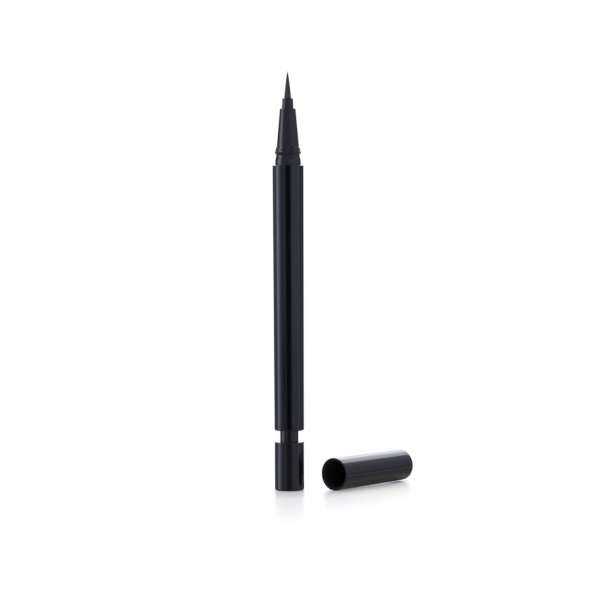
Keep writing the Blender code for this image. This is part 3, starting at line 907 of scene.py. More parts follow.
@dataclass(frozen=True)
class Nose:
    """The nose: its spigot in the barrel, collar, groove, snap bead and long cone.

    Attributes:
        seat: The level of its shoulder on the barrel.
        tip: The level of its end.
        tip_radius: Its outer radius there.
        hole_radius: The hole round the brush holder.
        bore_radius: The wider bore below it.
        step: The level where the bore narrows.
        foot: The level of its foot.
        spigot_radius: The radius of its spigot in the barrel.
        seal_groove_radius: The radius of the seal's groove in the spigot.
        seal_groove_foot: The level of that groove's foot.
        seal_groove_top: The level of that groove's top.
        collar_radius: The collar's radius at its foot.
        collar_top: The level where the collar starts to fall into the groove.
        collar_top_radius: The radius there.
        groove_radius: The snap groove's radius.
        groove_foot: The level where the groove's floor starts.
        groove_top: The level where it ends.
        bead_foot: The level of the bead's foot.
        bead_foot_radius: The radius there.
        bead: The level of the bead's crest.
        bead_radius: The radius at its crest, before the rounding.
        bead_top: The level of the bead's upper foot.
        flare_radius: The radius there.
        flare_top: The level where the flare starts to fall into the cone.
        flare_top_radius: The radius there.
        cone_foot: The level of the cone's foot.
        cone_radius: The cone's radius there.
        edge_soft: The rounding of its small edges.
        rim_soft: The rounding of the collar's foot and of the hole's rim.
        collar_soft: The rounding by which the collar falls into the groove.
        groove_soft: The rounding of the groove's foot.
        bead_soft: The rounding of the bead and its feet.
        cone_soft: The rounding by which the flare falls into the cone.
        guard: The distance of the points that keep the flats beside its roundings flat.
    """

    seat: float = 0.1086
    tip: float = 0.1274
    tip_radius: float = 0.0026
    hole_radius: float = 0.00209
    bore_radius: float = 0.00257
    step: float = 0.1170
    foot: float = 0.0985
    spigot_radius: float = 0.00395
    seal_groove_radius: float = 0.0032
    seal_groove_foot: float = 0.1001
    seal_groove_top: float = 0.1010
    collar_radius: float = 0.0043
    collar_top: float = 0.1103
    collar_top_radius: float = 0.00423
    groove_radius: float = 0.0039
    groove_foot: float = 0.11175
    groove_top: float = 0.11195
    bead_foot: float = 0.1123
    bead_foot_radius: float = 0.00405
    bead: float = 0.1129
    bead_radius: float = 0.0044
    bead_top: float = 0.11345
    flare_radius: float = 0.00414
    flare_top: float = 0.1140
    flare_top_radius: float = 0.00407
    cone_foot: float = 0.1149
    cone_radius: float = 0.0037
    edge_soft: float = 0.0001
    rim_soft: float = 0.00006
    collar_soft: float = 0.004
    groove_soft: float = 0.0004
    bead_soft: float = 0.0002
    cone_soft: float = 0.0006
    guard: float = 0.00003

    def build(self, shop: Workshop) -> None:
        """Build the nose."""
        outline = shop.rounded(
            [
                Corner(self.bore_radius, self.foot),
                Corner(self.spigot_radius, self.foot, self.edge_soft),
                Corner(self.spigot_radius, self.seal_groove_foot),
                Corner(self.seal_groove_radius, self.seal_groove_foot),
                Corner(self.seal_groove_radius, self.seal_groove_top),
                Corner(self.spigot_radius, self.seal_groove_top),
                Corner(self.spigot_radius, self.seat),
                Corner(self.collar_radius, self.seat, self.rim_soft),
                Corner(self.collar_top_radius, self.collar_top, self.collar_soft),
                Corner(self.groove_radius, self.groove_foot, self.groove_soft),
                Corner(self.groove_radius, self.groove_top, self.edge_soft),
                Corner(self.bead_foot_radius, self.bead_foot, self.bead_soft),
                Corner(self.bead_radius, self.bead, self.bead_soft),
                Corner(self.flare_radius, self.bead_top, self.bead_soft),
                Corner(self.flare_top_radius, self.flare_top, self.cone_soft),
                Corner(self.cone_radius, self.cone_foot, self.cone_soft),
                Corner(self.tip_radius, self.tip, self.edge_soft),
                Corner(self.hole_radius, self.tip, self.rim_soft),
                Corner(self.hole_radius, self.step),
                Corner(self.bore_radius, self.step),
            ],
            guard=self.guard,
        )
        shop.fit(shop.turned("nose_shell", outline), Look.NOSE, "pen", "nose_cone")


@dataclass(frozen=True)
class Holder:
    """The matt stepped tip that grips the brush.

    Attributes:
        foot: The level of its flange's foot.
        flange_top: The level of the flange's upper face.
        nose_tip: The level at which it leaves the nose.
        tip: The level of its end.
        seat: The level of the socket's floor.
        pipe_radius: The hole for the feed pipe.
        flange_radius: The flange's radius.
        shaft_radius: Its radius where it leaves the nose.
        tip_radius: Its radius at the end.
        tip_soft: The rounding of its end.
        socket_radius: The radius of the brush's socket.
        edge_soft: The rounding of its flange's edges.
        shaft_soft: The rounding where it leaves the nose.
        rim_soft: The rounding of the socket's rim.
        guard: The distance of the points that keep the flats beside its roundings flat.
    """

    foot: float = 0.1157
    flange_top: float = 0.1169
    nose_tip: float = 0.1274
    tip: float = 0.13086
    seat: float = 0.13006
    pipe_radius: float = 0.0009
    flange_radius: float = 0.00242
    shaft_radius: float = 0.00194
    tip_radius: float = 0.00174
    tip_soft: float = 0.0003
    socket_radius: float = 0.00137
    edge_soft: float = 0.0001
    shaft_soft: float = 0.0002
    rim_soft: float = 0.00008
    guard: float = 0.00003

    def build(self, shop: Workshop) -> None:
        """Build the holder."""
        outline = shop.rounded(
            [
                Corner(self.pipe_radius, self.foot),
                Corner(self.flange_radius, self.foot, self.edge_soft),
                Corner(self.flange_radius, self.flange_top, self.edge_soft),
                Corner(self.shaft_radius, self.flange_top),
                Corner(self.shaft_radius, self.nose_tip, self.shaft_soft),
                Corner(self.tip_radius, self.tip, self.tip_soft),
                Corner(self.socket_radius, self.tip, self.rim_soft),
                Corner(self.socket_radius, self.seat),
                Corner(self.pipe_radius, self.seat),
            ],
            guard=self.guard,
        )
        shop.fit(shop.turned("holder_tip", outline), Look.HOLDER, "pen", "brush_holder")


@dataclass(frozen=True)
class Brush:
    """The pointed brush: rings of fine hairs drawn together into a point.

    Attributes:
        seat: The level of the backing's foot in the holder.
        foot: The level at which the hairs leave the holder.
        point: The level of the brush's point.
        backing_radius: The backing's radius.
        backing_sides: The number of sides of the backing.
        rings: The number of rings of hairs round the middle one, each with six more than the last.
        sides: The number of sides of a hair.
        steps: The number of steps along a hair.
        root: How far down in the holder the hairs start.
        shortfall: The share of the brush's length by which its outermost hairs end early.
        scatter: The most that chance adds to that share.
        thickness: A hair's radius at its root, as a share of the distance between rings.
        thinning: The share of that radius that it has lost at its end.
        inset: How far inside the bundle's edge a hair stays, in distances between rings.
        profile: The bundle's radius at distances from its point.
        sway: How far a hair wanders, as a share of its own width.
        seed: The number that the wandering starts from.
    """

    seat: float = 0.13016
    foot: float = 0.13086
    point: float = 0.1401
    backing_radius: float = 0.00127
    backing_sides: int = 48
    rings: int = 14
    sides: int = 5
    steps: int = 9
    root: float = 0.0003
    shortfall: float = 0.10
    scatter: float = 0.05
    thickness: float = 0.62
    thinning: float = 0.75
    inset: float = 0.45
    profile: tuple[Point, ...] = (
        (0.0, 0.000035),
        (0.0010, 0.00018),
        (0.0019, 0.00033),
        (0.0032, 0.00051),
        (0.0045, 0.00067),
        (0.0059, 0.00083),
        (0.0072, 0.00097),
        (0.0085, 0.00109),
        (0.00924, 0.00114),
    )
    sway: float = 0.35
    seed: int = 7

    def radius_at(self, level: float) -> float:
        """Return the bundle's radius at a level.

        Args:
            level: A level in metres.

        Returns:
            The radius in metres.
        """
        depth = min(max(self.point - level, 0.0), self.profile[-1][0])
        for (d0, r0), (d1, r1) in zip(self.profile, self.profile[1:]):
            if depth <= d1:
                return r0 + (r1 - r0) * (depth - d0) / (d1 - d0)
        return self.profile[-1][1]

    def build(self, shop: Workshop) -> None:
        """Build the hairs and the backing that holds them.

        Args:
            shop: The workshop that makes the brush and fits it.
        """
        chance = random.Random(self.seed)
        mesh = bmesh.new()
        self._add_backing(mesh)
        pitch = 1 / (self.rings + 0.5)
        self._add_hair(mesh, 0.0, 0.0, pitch, chance)
        for ring in range(1, self.rings + 1):
            count = 6 * ring
            for i in range(count):
                angle = math.tau * (i + 0.5 * (ring % 2)) / count
                self._add_hair(mesh, ring * pitch, angle, pitch, chance)
        shop.fit(shop.bounded("brush_hairs", mesh, Matrix.Identity(4)), Look.BRUSH, "pen", "brush_tip")

    def _add_backing(self, mesh: bmesh.types.BMesh) -> None:
        """Add the round backing in the holder's socket.

        Args:
            mesh: The mesh that it is added to.
        """
        height = self.foot - self.seat
        bmesh.ops.create_cone(
            mesh,
            cap_ends=True,
            segments=self.backing_sides,
            radius1=self.backing_radius,
            radius2=self.backing_radius,
            depth=height,
            matrix=Matrix.Translation((0, 0, self.seat + height / 2)),
        )

    def _add_hair(
        self, mesh: bmesh.types.BMesh, share: float, angle: float, pitch: float, chance: random.Random
    ) -> None:
        """Add one hair, which leans in with the bundle and thins to its end.

        Args:
            mesh: The mesh that it is added to.
            share: Its place as a share of the bundle's radius.
            angle: Its place round the axis.
            pitch: The distance between rings as a share of the bundle's radius.
            chance: The source of its wandering.
        """
        early = self.shortfall * share + self.scatter * chance.random() * share
        top = self.point - (self.point - self.foot) * early
        lean = angle + chance.uniform(-0.5, 0.5) * pitch
        rows = []
        for k in range(self.steps + 1):
            along = k / self.steps
            level = self.foot - self.root + (top - self.foot + self.root) * along
            bundle = self.radius_at(level)
            wander = 1 + self.sway * pitch * (chance.random() - 0.5)
            reach = bundle * min(share * wander, 1 - self.inset * pitch)
            width = bundle * pitch * self.thickness * (1 - self.thinning * along**3)
            x, y = reach * math.cos(lean), reach * math.sin(lean)
            turns = [lean + math.tau * s / self.sides for s in range(self.sides)]
            spots = [(x + width * math.cos(t), y + width * math.sin(t), level) for t in turns]
            rows.append([mesh.verts.new(spot) for spot in spots])
        bridge(mesh, rows)
        mesh.faces.new(rows[0])
        mesh.faces.new(rows[-1])


@dataclass(frozen=True)
class Cap:
    """The loose cap and the sliding cup in it that seals the nose.

    Attributes:
        mouth: The centre of its mouth.
        length: Its length.
        floor: The depth of its closed end from the mouth.
        mouth_radius: Its outer radius at the mouth.
        end_radius: Its outer radius at the closed end.
        end_soft: The rounding of the closed end.
        lip_radius: The outer radius of the lip's face.
        lip_depth: The depth over which the skin widens from the lip to the mouth's radius.
        wall_radius: The radius in the wall where the skin and the throat meet.
        mouth_slope: The width and depth of the slope that leads into the bore.
        bore_radius: Its bore's radius at the mouth.
        inner_radius: Its bore's radius behind the ridge.
        ridge_radius: The ridge's radius.
        ridge_depth: The ridge's depth.
        ridge_end: The depth of the ridge's far side.
        cup_mouth: The depth of the inner cup's mouth.
        cup_floor: The depth of the inner cup's floor.
        cup_back: The depth of the inner cup's back.
        cup_radius: The inner cup's outer radius.
        cup_bore: The inner cup's bore.
        cup_flare: How much wider the inner cup's mouth is.
        cup_flare_length: The length of that flare.
        edge_soft: The rounding of its small edges.
        skin_soft: The rounding by which the skin widens behind the lip.
        floor_soft: The rounding of the floor's corner and of the inner cup's back.
        slope_soft: The rounding where the mouth's slope meets the bore.
        rim_soft: The rounding of that slope's outer edge.
        flare_soft: The rounding where the inner cup's flare ends.
        cup_soft: The rounding of the inner cup's floor.
        guard: The distance of the points that keep the flats beside its roundings flat.
    """

    mouth: Triple = (0.0073, -0.0134, 0.0055)
    length: float = 0.0364
    floor: float = 0.0350
    mouth_radius: float = 0.0055
    end_radius: float = 0.00521
    end_soft: float = 0.0009
    lip_radius: float = 0.00547
    lip_depth: float = 0.0008
    wall_radius: float = 0.00475
    mouth_slope: float = 0.0006
    bore_radius: float = 0.00445
    inner_radius: float = 0.00425
    ridge_radius: float = 0.0039
    ridge_depth: float = 0.0115
    ridge_end: float = 0.0120
    cup_mouth: float = 0.01215
    cup_floor: float = 0.03205
    cup_back: float = 0.03285
    cup_radius: float = 0.0041
    cup_bore: float = 0.00305
    cup_flare: float = 0.0003
    cup_flare_length: float = 0.0018
    edge_soft: float = 0.0001
    skin_soft: float = 0.008
    floor_soft: float = 0.0003
    slope_soft: float = 0.0002
    rim_soft: float = 0.00006
    flare_soft: float = 0.0005
    cup_soft: float = 0.0004
    guard: float = 0.00004

    def place(self) -> Matrix:
        """Return where the cap's own frame stands, its Z along the model's X."""
        return Matrix.Translation(self.mouth) @ Matrix.Rotation(math.pi / 2, 4, "Y")

    def build(self, shop: Workshop) -> None:
        """Build the cap's skin, its throat and its inner cup.

        Args:
            shop: The workshop that makes the three and fits them.
        """
        back = (self.floor + self.length) / 2
        skin = shop.rounded(
            [
                Corner(0, back),
                Corner(self.wall_radius, back),
                Corner(self.wall_radius, self.lip_depth),
                Corner(self.lip_radius, 0),
                Corner(self.mouth_radius, self.lip_depth, self.skin_soft),
                Corner(self.end_radius, self.length, self.end_soft),
                Corner(0, self.length),
            ],
            guard=self.guard,
        )
        shop.fit(shop.turned("cap_skin", skin, place=self.place()), Look.CAP, "cap", "cap_shell")
        throat = shop.rounded(
            [
                Corner(0, self.floor),
                Corner(self.inner_radius, self.floor, self.floor_soft),
                Corner(self.inner_radius, self.ridge_end),
                Corner(self.ridge_radius, self.ridge_end, self.edge_soft),
                Corner(self.ridge_radius, self.ridge_depth, self.edge_soft),
                Corner(self.bore_radius, self.ridge_depth, self.edge_soft),
                Corner(self.bore_radius, self.mouth_slope, self.slope_soft),
                Corner(self.bore_radius + self.mouth_slope, 0, self.rim_soft),
                Corner(self.lip_radius, 0),
                Corner(self.wall_radius, self.lip_depth),
                Corner(self.wall_radius, back),
                Corner(0, back),
            ],
            guard=self.guard,
        )
        shop.fit(shop.turned("cap_throat", throat, place=self.place()), Look.LINER, "cap", "cap_shell")
        cup = shop.rounded(
            [
                Corner(0, self.cup_back),
                Corner(self.cup_radius, self.cup_back, self.floor_soft),
                Corner(self.cup_radius, self.cup_mouth, self.edge_soft),
                Corner(self.cup_bore + self.cup_flare, self.cup_mouth, self.edge_soft),
                Corner(self.cup_bore, self.cup_mouth + self.cup_flare_length, self.flare_soft),
                Corner(self.cup_bore, self.cup_floor, self.cup_soft),
                Corner(0, self.cup_floor),
            ],
            guard=self.guard,
        )
        shop.fit(shop.turned("inner_cup", cup, place=self.place()), Look.LINER, "cup", "cap_liner")


@dataclass(frozen=True)
class CoilSpring:
    """A wound wire spring, which its joint presses shorter in use; here it is wound at one length and keeps
    it.

    Attributes:
        name: The piece's name.
        node: The CAD node that it stands for.
        body: The body that it moves with.
        joint: The joint that would shorten it; not used.
        travel: That joint's travel; not used.
        radius: The radius of its coil.
        wire: The wire's radius.
        foot: Its first end along its axis.
        top: Its other end, which stays.
        turns: The number of turns.
        place: Where its own frame stands.
        per_turn: The number of steps in one turn.
        sides: The number of sides of the wire.
    """

    name: str
    node: str
    body: str
    joint: str
    travel: float
    radius: float
    wire: float
    foot: float
    top: float
    turns: int
    place: Matrix
    per_turn: int = 36
    sides: int = 12

    def build(self, shop: Workshop) -> None:
        """Wind the spring.

        Args:
            shop: The workshop that makes the spring and fits it.
        """
        count = self.per_turn * self.turns
        rise = self.top - self.foot - 2 * self.wire
        line = []
        for i in range(count + 1):
            turn = math.tau * i / self.per_turn
            level = self.foot + self.wire + rise * i / count
            line.append(Vector((self.radius * math.cos(turn), self.radius * math.sin(turn), level)))
        piece = shop.swept(self.name, line, self.wire, self.sides, self.place)
        shop.fit(piece, Look.STEEL, self.body, self.node)
        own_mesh(piece)


class InnerWorks:
    """The moulded, rubber and steel works inside the barrel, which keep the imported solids."""

    LOOKS: dict[str, Look] = {
        "nose_seal": Look.SEAL,
        "feed_pipe": Look.STEEL,
        "tank_plug": Look.WORKS,
        "tank_seal": Look.SEAL,
        "liquid_tank": Look.TANK,
        "stir_ball": Look.STEEL,
        "piston": Look.SEAL,
        "feed_screw": Look.WORKS,
        "screw_nut": Look.ROTOR,
        "fixed_cam": Look.WORKS,
        "ratchet_rotor": Look.ROTOR,
        "rear_bush": Look.WORKS,
    }

    def build(self, shop: Workshop) -> None:
        """Dress each solid that stays.

        Args:
            shop: The workshop that holds the finishes.
        """
        for node, look in self.LOOKS.items():
            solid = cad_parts[node]
            for i in range(len(solid.material_slots)):
                solid.material_slots[i].material = shop.materials[look]
            log.info("%s: packed solid in %s", node, look.value)


@dataclass(frozen=True)
class Viewpoint:
    """The camera, a long lens a little above the middle of the pen.

    Attributes:
        distance: Its distance from the pen's axis.
        aside: How far it stands to the right of that axis.
        height: Its height.
        dip: How far it looks down, in radians.
        lean: How far it is turned about its own line of sight, in radians.
        lens: The focal length in millimetres.
        sensor: The sensor's width in millimetres.
        clip: The nearest and the farthest distance that it sees.
    """

    distance: float = 0.83469
    aside: float = 0.003789
    height: float = 0.10576
    dip: float = 0.050390
    lean: float = 0.00469
    lens: float = 150.21
    sensor: float = 36.0
    clip: Point = (0.05, 20.0)

    def build(self) -> None:
        """Place the camera and keep its colours plain."""
        level = Vector((*AHEAD, 0)).normalized()
        right = Vector((level.y, -level.x, 0))
        look = level * math.cos(self.dip) - Vector((0, 0, math.sin(self.dip)))
        up = right.cross(look)
        turned_right = right * math.cos(self.lean) - up * math.sin(self.lean)
        turned_up = up * math.cos(self.lean) + right * math.sin(self.lean)
        place = right * self.aside - level * self.distance
        place.z = self.height
        data = bpy.data.cameras.new("camera")
        data.lens = self.lens
        data.sensor_width = self.sensor
        data.clip_start, data.clip_end = self.clip
        camera = bpy.data.objects.new("camera", data)
        axes = Matrix((turned_right, turned_up, -look)).transposed().to_4x4()
        camera.matrix_world = Matrix.Translation(place) @ axes
        bpy.context.scene.collection.objects.link(camera)
        bpy.context.scene.camera = camera
        bpy.context.scene.view_settings.view_transform = "Standard"
        log.info("camera: %.0f mm lens, %.3f m from the pen", self.lens, self.distance)


@dataclass(frozen=True)
class Room:
    """A softly lit room: a tall light at the left, white card behind and a dark gap at the camera.

    A ring is a list of brightnesses by degrees to the left of the camera. Heights are sines of the
    angle above the table, and each pair is where something starts to come in and is all there.

    Attributes:
        band: The ring at the table's level.
        upper: The ring about ten degrees up.
        high: The ring from about thirty-five degrees up.
        low: The ring below the table's edge.
        upper_in: The heights at which the upper ring comes in.
        high_in: The heights at which the high ring comes in.
        low_in: The heights at which the low ring comes in.
        ceiling: The brightness overhead.
        ceiling_in: The heights at which the ceiling comes in.
        skirting: The brightness of the thin pale line just below the table's level.
        skirting_heights: The heights at which that line comes in and goes.
        dimming: The share by which the band is dimmed on the camera's side.
        dimming_in: The heights at which that comes in.
        dimming_near: How far a direction points to the camera where that comes in.
        dimming_skew: How much a direction to the left counts as one to the camera.
        post: The share by which a thin dark post at the left of the camera dims the band.
        post_sides: Where the post comes in and goes, in turns from straight behind the pen.
        post_heights: The heights at which it comes in and goes.
        card: How much of the white card behind the pen shows in what is glossy or clear.
        card_behind: How far a direction points away from the camera where the card comes in.
        card_in: The heights at which the card comes in.
        tint: The tint of the room's sides.
        low_tint: The tint below the table's edge.
        span: The brightness that a ramp's full colour stands for.
    """

    band: tuple[Point, ...] = (
        (-180, 0.10), (-146, 0.12), (-134, 0.18), (-118, 0.40), (-110, 0.34), (-105, 0.26), (-99, 0.48),
        (-93, 0.67), (-83, 0.82), (-31, 0.80), (-24, 0.6), (-17, 0.2), (-9, 0.03), (13, 0.03), (21, 0.28),
        (29, 0.55), (37, 0.50), (54, 0.50), (62, 0.65), (71, 1.45), (81, 2.3), (89, 3.4), (98, 1.8),
        (104, 0.8), (111, 0.33), (118, 0.36), (126, 0.42), (135, 0.32), (146, 0.18), (180, 0.10),
    )
    upper: tuple[Point, ...] = (
        (-180, 2.6), (-171, 2.6), (-165, 0.14), (-146, 0.14), (-130, 0.30), (-118, 0.42), (-104, 0.55),
        (-93, 0.65), (-83, 0.75), (-31, 0.75), (-20, 0.58), (0, 0.50), (20, 0.50), (45, 0.55), (60, 0.85),
        (70, 1.6), (83, 3.4), (95, 2.4), (105, 0.9), (116, 0.33), (130, 0.25), (146, 0.14), (168, 0.14),
        (175, 2.6), (180, 2.6),
    )
    high: tuple[Point, ...] = (
        (-180, 1.3), (-170, 1.3), (-162, 0.7), (-128, 0.9), (-112, 0.70), (-102, 0.72), (-90, 0.90),
        (-77, 0.82), (-65, 0.62), (-54, 0.45), (-34, 0.45), (-14, 0.54), (-5, 0.66), (5, 0.74), (14, 0.6),
        (24, 0.42), (34, 0.34), (44, 0.43), (58, 0.7), (72, 2.1), (84, 3.4), (96, 2.2), (110, 0.6),
        (164, 0.5), (172, 1.3), (180, 1.3),
    )
    low: tuple[Point, ...] = (
        (-180, 0.24), (-157, 0.28), (-140, 0.34), (-123, 0.38), (-105, 0.37), (0, 0.40), (100, 0.40),
        (150, 0.28), (180, 0.24),
    )
    upper_in: Point = (0.01, 0.09)
    high_in: Point = (0.22, 0.55)
    low_in: Point = (-0.15, -0.28)
    ceiling: float = 0.5
    ceiling_in: Point = (0.72, 0.92)
    skirting: float = 0.78
    skirting_heights: Window = ((-0.15, -0.185), (-0.19, -0.25))
    dimming: float = 0.25
    dimming_in: Point = (-0.03, -0.11)
    dimming_near: Point = (-0.5, -0.25)
    dimming_skew: float = 0.5
    post: float = 0.92
    post_sides: Window = ((0.572, 0.594), (0.614, 0.634))
    post_heights: Window = ((-0.066, -0.078), (-0.093, -0.101))
    card: float = 0.4
    card_behind: Point = (0.90, 0.96)
    card_in: Point = (0.10, 0.18)
    tint: Colour = (0.93, 0.955, 1.19)
    low_tint: Colour = (1.04, 0.95, 0.97)
    span: float = 4.0

    def build(self) -> None:
        """Make the world: white for the camera, and the room for the light and reflections."""
        world = bpy.data.worlds.new("studio_room")
        world.use_nodes = True
        bpy.context.scene.world = world
        bench = NodeBench(world.node_tree)
        x, y, up = bench.axes(bench.node("ShaderNodeTexCoord").outputs["Generated"])
        near = x * -AHEAD[0] + y * -AHEAD[1]
        left = x * -AHEAD[1] + y * AHEAD[0]
        colour = self._colour(bench, near, left, up)
        lit = bench.node("ShaderNodeBackground", None, {"Color": colour, "Strength": self.span})
        white = bench.node("ShaderNodeBackground", None, {"Color": WHITE, "Strength": 1.0})
        seen, mirrored = bench.rays()
        card = (near * -1).eased(*self.card_behind) * up.eased(*self.card_in) * self.card
        mix = bench.layered(seen + mirrored * card, lit.outputs[0], white.outputs[0])
        bench.node("ShaderNodeOutputWorld", None, {0: mix})
        counts = tuple(len(ring) for ring in (self.low, self.band, self.upper, self.high))
        log.info("room: rings of %d, %d, %d and %d levels", *counts)

    def _colour(
        self, bench: NodeBench, near: Signal, left: Signal, up: Signal
    ) -> bpy.types.NodeSocket:
        """Lay the room's parts over each other.

        Args:
            bench: The world's node bench.
            near: How far a direction points to the camera.
            left: How far it points to the camera's left.
            up: How far it points up.

        Returns:
            The socket of the room's colour in that direction.
        """
        around = left.turn_from(near) / math.tau + 0.5
        band, upper, high = (
            self._ring(bench, around, levels, self.tint) for levels in (self.band, self.upper, self.high)
        )
        low = self._ring(bench, around, self.low, self.low_tint)
        side = (near + left * self.dimming_skew).eased(*self.dimming_near)
        room = bench.blend(up.eased(*self.dimming_in) * side * self.dimming, band, BLACK)
        post = around.within(self.post_sides) * up.within(self.post_heights)
        room = bench.blend(post * self.post, room, BLACK)
        room = bench.blend(up.eased(*self.upper_in), room, upper)
        room = bench.blend(up.eased(*self.high_in), room, high)
        room = bench.blend(up.eased(*self.ceiling_in), room, self._grey(self.ceiling))
        room = bench.blend(up.eased(*self.low_in), room, low)
        return bench.blend(up.within(self.skirting_heights), room, self._grey(self.skirting))

    def _grey(self, level: float) -> Colour:
        """Return the colour that stands for a brightness without a tint."""
        return (level / self.span,) * 3

    def _ring(
        self, bench: NodeBench, around: Signal, levels: Sequence[Point], tint: Colour
    ) -> bpy.types.NodeSocket:
        """Make a ramp of brightness round the room.

        Args:
            bench: The world's node bench.
            around: The direction, from 0 to 1 round the room.
            levels: Brightness by degrees to the left of the camera.
            tint: The ring's tint.

        Returns:
            The ramp's colour socket.
        """
        stops = []
        for degrees, level in levels:
            colour = tuple(min(level * t / self.span, 1.0) for t in tint)
            stops.append((degrees / 360 + 0.5, colour))
        return bench.node("ShaderNodeValToRGB", {"stops": stops}, {0: around}).outputs[0]


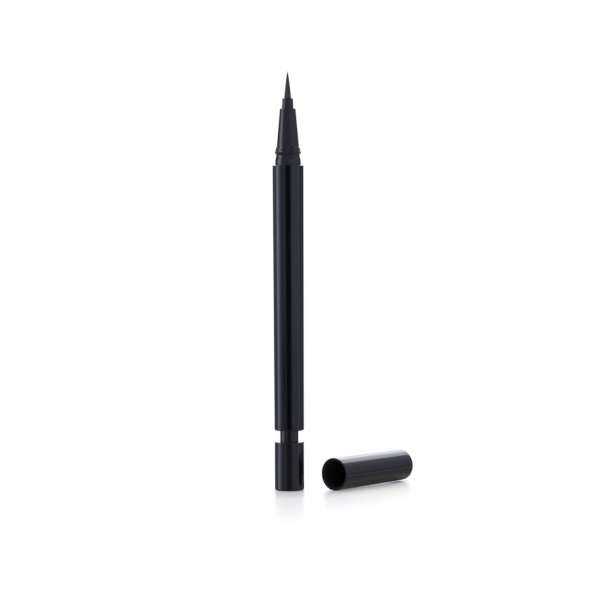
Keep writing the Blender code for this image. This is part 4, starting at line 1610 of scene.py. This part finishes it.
@dataclass(frozen=True)
class Table:
    """A plain pale table, white to the camera away from the pen and softly shaded near it.

    Places and distances are in metres, and each pair is where something starts to change and has
    changed. A warm shadow is painted into its colour where the cap touches it, and a dark shadow is
    painted under the cap's thinner end.

    Attributes:
        colour: Its colour.
        painted_contact_shadow: A warm shadow painted into its colour where the cap touches it.
        painted_under_shadow: A dark shadow painted into its colour under the cap's thinner end.
        roughness: Its roughness.
        gloss_size: The size of the places in which the roughness changes.
        gloss_drift: How much it changes.
        cap_scale: What a place is multiplied by before its distance from the cap is taken.
        cap_shift: What is then added to it, which brings the cap's middle to zero.
        beside: The distances from the cap over which the shade beside it fades.
        beside_share: How much of the table's white that shade takes away.
        contact: The distances from the cap over which the painted contact shadow fades, and over which what
            is glossy stops seeing the table.
        painted_shadow_along: Where the painted shadow under the cap's thinner end comes in and goes along
            the cap.
        painted_shadow_across: Where it comes in and goes across the cap.
        shade: How much of the table's own shading shows at the pen's foot.
        shade_fades: Two distances from the foot, and how much of the shading fades between them.
        mirrored_share: How much of the table's white shows in what is glossy or clear.
        half_width: Half its width.
        drop: How far it lies below the pen's foot.
    """

    colour: Colour = (0.95, 0.93, 0.862)
    # a warm shadow painted into the table's colour where the cap touches it
    painted_contact_shadow: Colour = (0.925, 0.70, 0.595)
    # a dark shadow painted under the cap's thinner end
    painted_under_shadow: Colour = (0.22, 0.205, 0.20)
    roughness: float = 0.30
    gloss_size: float = 0.004
    gloss_drift: float = 0.04
    cap_scale: Triple = (0.42, 1.0, 0.0)
    cap_shift: Triple = (-0.0110, 0.0134, 0.0)
    beside: Point = (0.002, 0.011)
    beside_share: float = 0.5
    contact: Point = (0.003, 0.012)
    painted_shadow_along: Window = ((0.030, 0.040), (0.0435, 0.0475))
    painted_shadow_across: Window = ((-0.0174, -0.0149), (-0.0119, -0.0094))
    shade: float = 0.76
    shade_fades: tuple[Triple, ...] = ((0.012, 0.028, 0.32), (0.035, 0.09, 0.44))
    mirrored_share: float = 0.1
    half_width: float = 3.0
    drop: float = 0.00002

    def build(self) -> None:
        """Lay the table under the pen."""
        made, bench = new_material("table_finish")
        bench.node("ShaderNodeOutputMaterial", None, {0: self._shading(bench)})
        mesh = bmesh.new()
        half = self.half_width
        corners = [(-half, -half), (half, -half), (half, half), (-half, half)]
        mesh.faces.new([mesh.verts.new((x, y, -self.drop)) for x, y in corners])
        data = bpy.data.meshes.new("table")
        mesh.to_mesh(data)
        mesh.free()
        data.materials.append(made)
        table = bpy.data.objects.new("table", data)
        table.visible_shadow = False
        bpy.context.scene.collection.objects.link(table)
        log.info("table: set at the knob's foot")

    def _shading(self, bench: NodeBench) -> bpy.types.NodeSocket:
        """Mix the table's own surface with plain white, and let what is glossy see past it.

        Args:
            bench: The node bench of the table's material.

        Returns:
            The shader's socket.
        """
        place = bench.node("ShaderNodeNewGeometry").outputs["Position"]
        inputs = {0: place, 1: self.cap_scale, 2: self.cap_shift}
        from_cap = bench.node("ShaderNodeVectorMath", {"operation": "MULTIPLY_ADD"}, inputs)
        cap_away = bench.length(from_cap.outputs[0])
        beside = 1 - cap_away.eased(*self.beside)
        contact = 1 - cap_away.eased(*self.contact)
        x, y, _ = bench.axes(place)
        # the painted shadow under the cap's thinner end, which darkens the colour and takes away the white
        under = x.within(self.painted_shadow_along) * y.within(self.painted_shadow_across)
        # a warm shadow painted into the colour near the cap's contact
        painted_contact_tone = bench.blend(contact, self.colour, self.painted_contact_shadow)
        gloss = bench.grain(self.gloss_size, detail=3.0)
        sockets = {
            "Base Color": bench.blend(under, painted_contact_tone, self.painted_under_shadow),
            "Roughness": self.roughness + (gloss - 0.5) * self.gloss_drift,
        }
        surface = bench.node("ShaderNodeBsdfPrincipled", None, sockets).outputs[0]
        white = bench.node("ShaderNodeEmission", None, {"Color": WHITE, "Strength": 1.0}).outputs[0]
        clear = bench.node("ShaderNodeBsdfTransparent").outputs[0]
        away = bench.length(place)
        shade: Number = self.shade
        for start, end, fade in self.shade_fades:
            shade = shade - away.eased(start, end) * fade
        seen, mirrored = bench.rays()
        plain = (seen + mirrored * self.mirrored_share) * (1 - shade)
        # less white beside the cap, and none where the shadow is painted under its thinner end
        plain = plain * (1 - beside * self.beside_share) * (1 - under)
        return bench.layered(mirrored * (1 - contact), bench.layered(plain, surface, white), clear)


@dataclass(frozen=True)
class SoftBox:
    """A broad soft box above and behind the pen.

    Attributes:
        reach: Its distance from the pen.
        rise: Its height above the table's edge, in degrees.
        size: Its width and height.
        power: Its power in watts.
    """

    reach: float = 1.0
    rise: float = 40.0
    size: Point = (1.46, 0.61)
    power: float = 7.0

    def build(self) -> None:
        """Hang the soft box."""
        data = bpy.data.lights.new("soft_box", "AREA")
        data.shape = "RECTANGLE"
        data.size, data.size_y = self.size
        data.energy = self.power
        rise = math.radians(self.rise)
        back = Vector((*AHEAD, 0)).normalized() * math.cos(rise)
        lamp = bpy.data.objects.new("soft_box", data)
        lamp.location = (back + Vector((0, 0, math.sin(rise)))) * self.reach
        lamp.rotation_euler = (-lamp.location).to_track_quat("-Z", "Y").to_euler()
        lamp.visible_camera = False
        bpy.context.scene.collection.objects.link(lamp)
        log.info("soft box: %.1f W, %.0f degrees up behind the pen", self.power, self.rise)


def main() -> None:
    """Build the camera, the room, the table, the soft box, the pen and its cap in order."""
    logging.basicConfig(level=logging.INFO, format="%(name)s: %(message)s")
    for surrounding in (Viewpoint(), Room(), Table(), SoftBox()):
        surrounding.build()
    shop = Workshop()
    for assembly in (Barrel(), PushKnob(), Nose(), Holder(), Brush(), Cap(), InnerWorks()):
        assembly.build(shop)
    springs = (
        CoilSpring(
            name="knob_spring", node="return_spring", body="pen", joint="knob_push", travel=0.003,
            radius=0.00358, wire=0.00022, foot=0.02515, top=0.03785, turns=8, place=Matrix.Identity(4),
        ),
        CoilSpring(
            name="cup_spring", node="cap_spring", body="cap", joint="cup_give", travel=0.0007,
            radius=0.0026, wire=0.00015, foot=0.0330, top=0.03485, turns=2, place=Cap().place(),
        ),
    )
    for spring in springs:
        spring.build(shop)


if __name__ == "__main__":
    main()
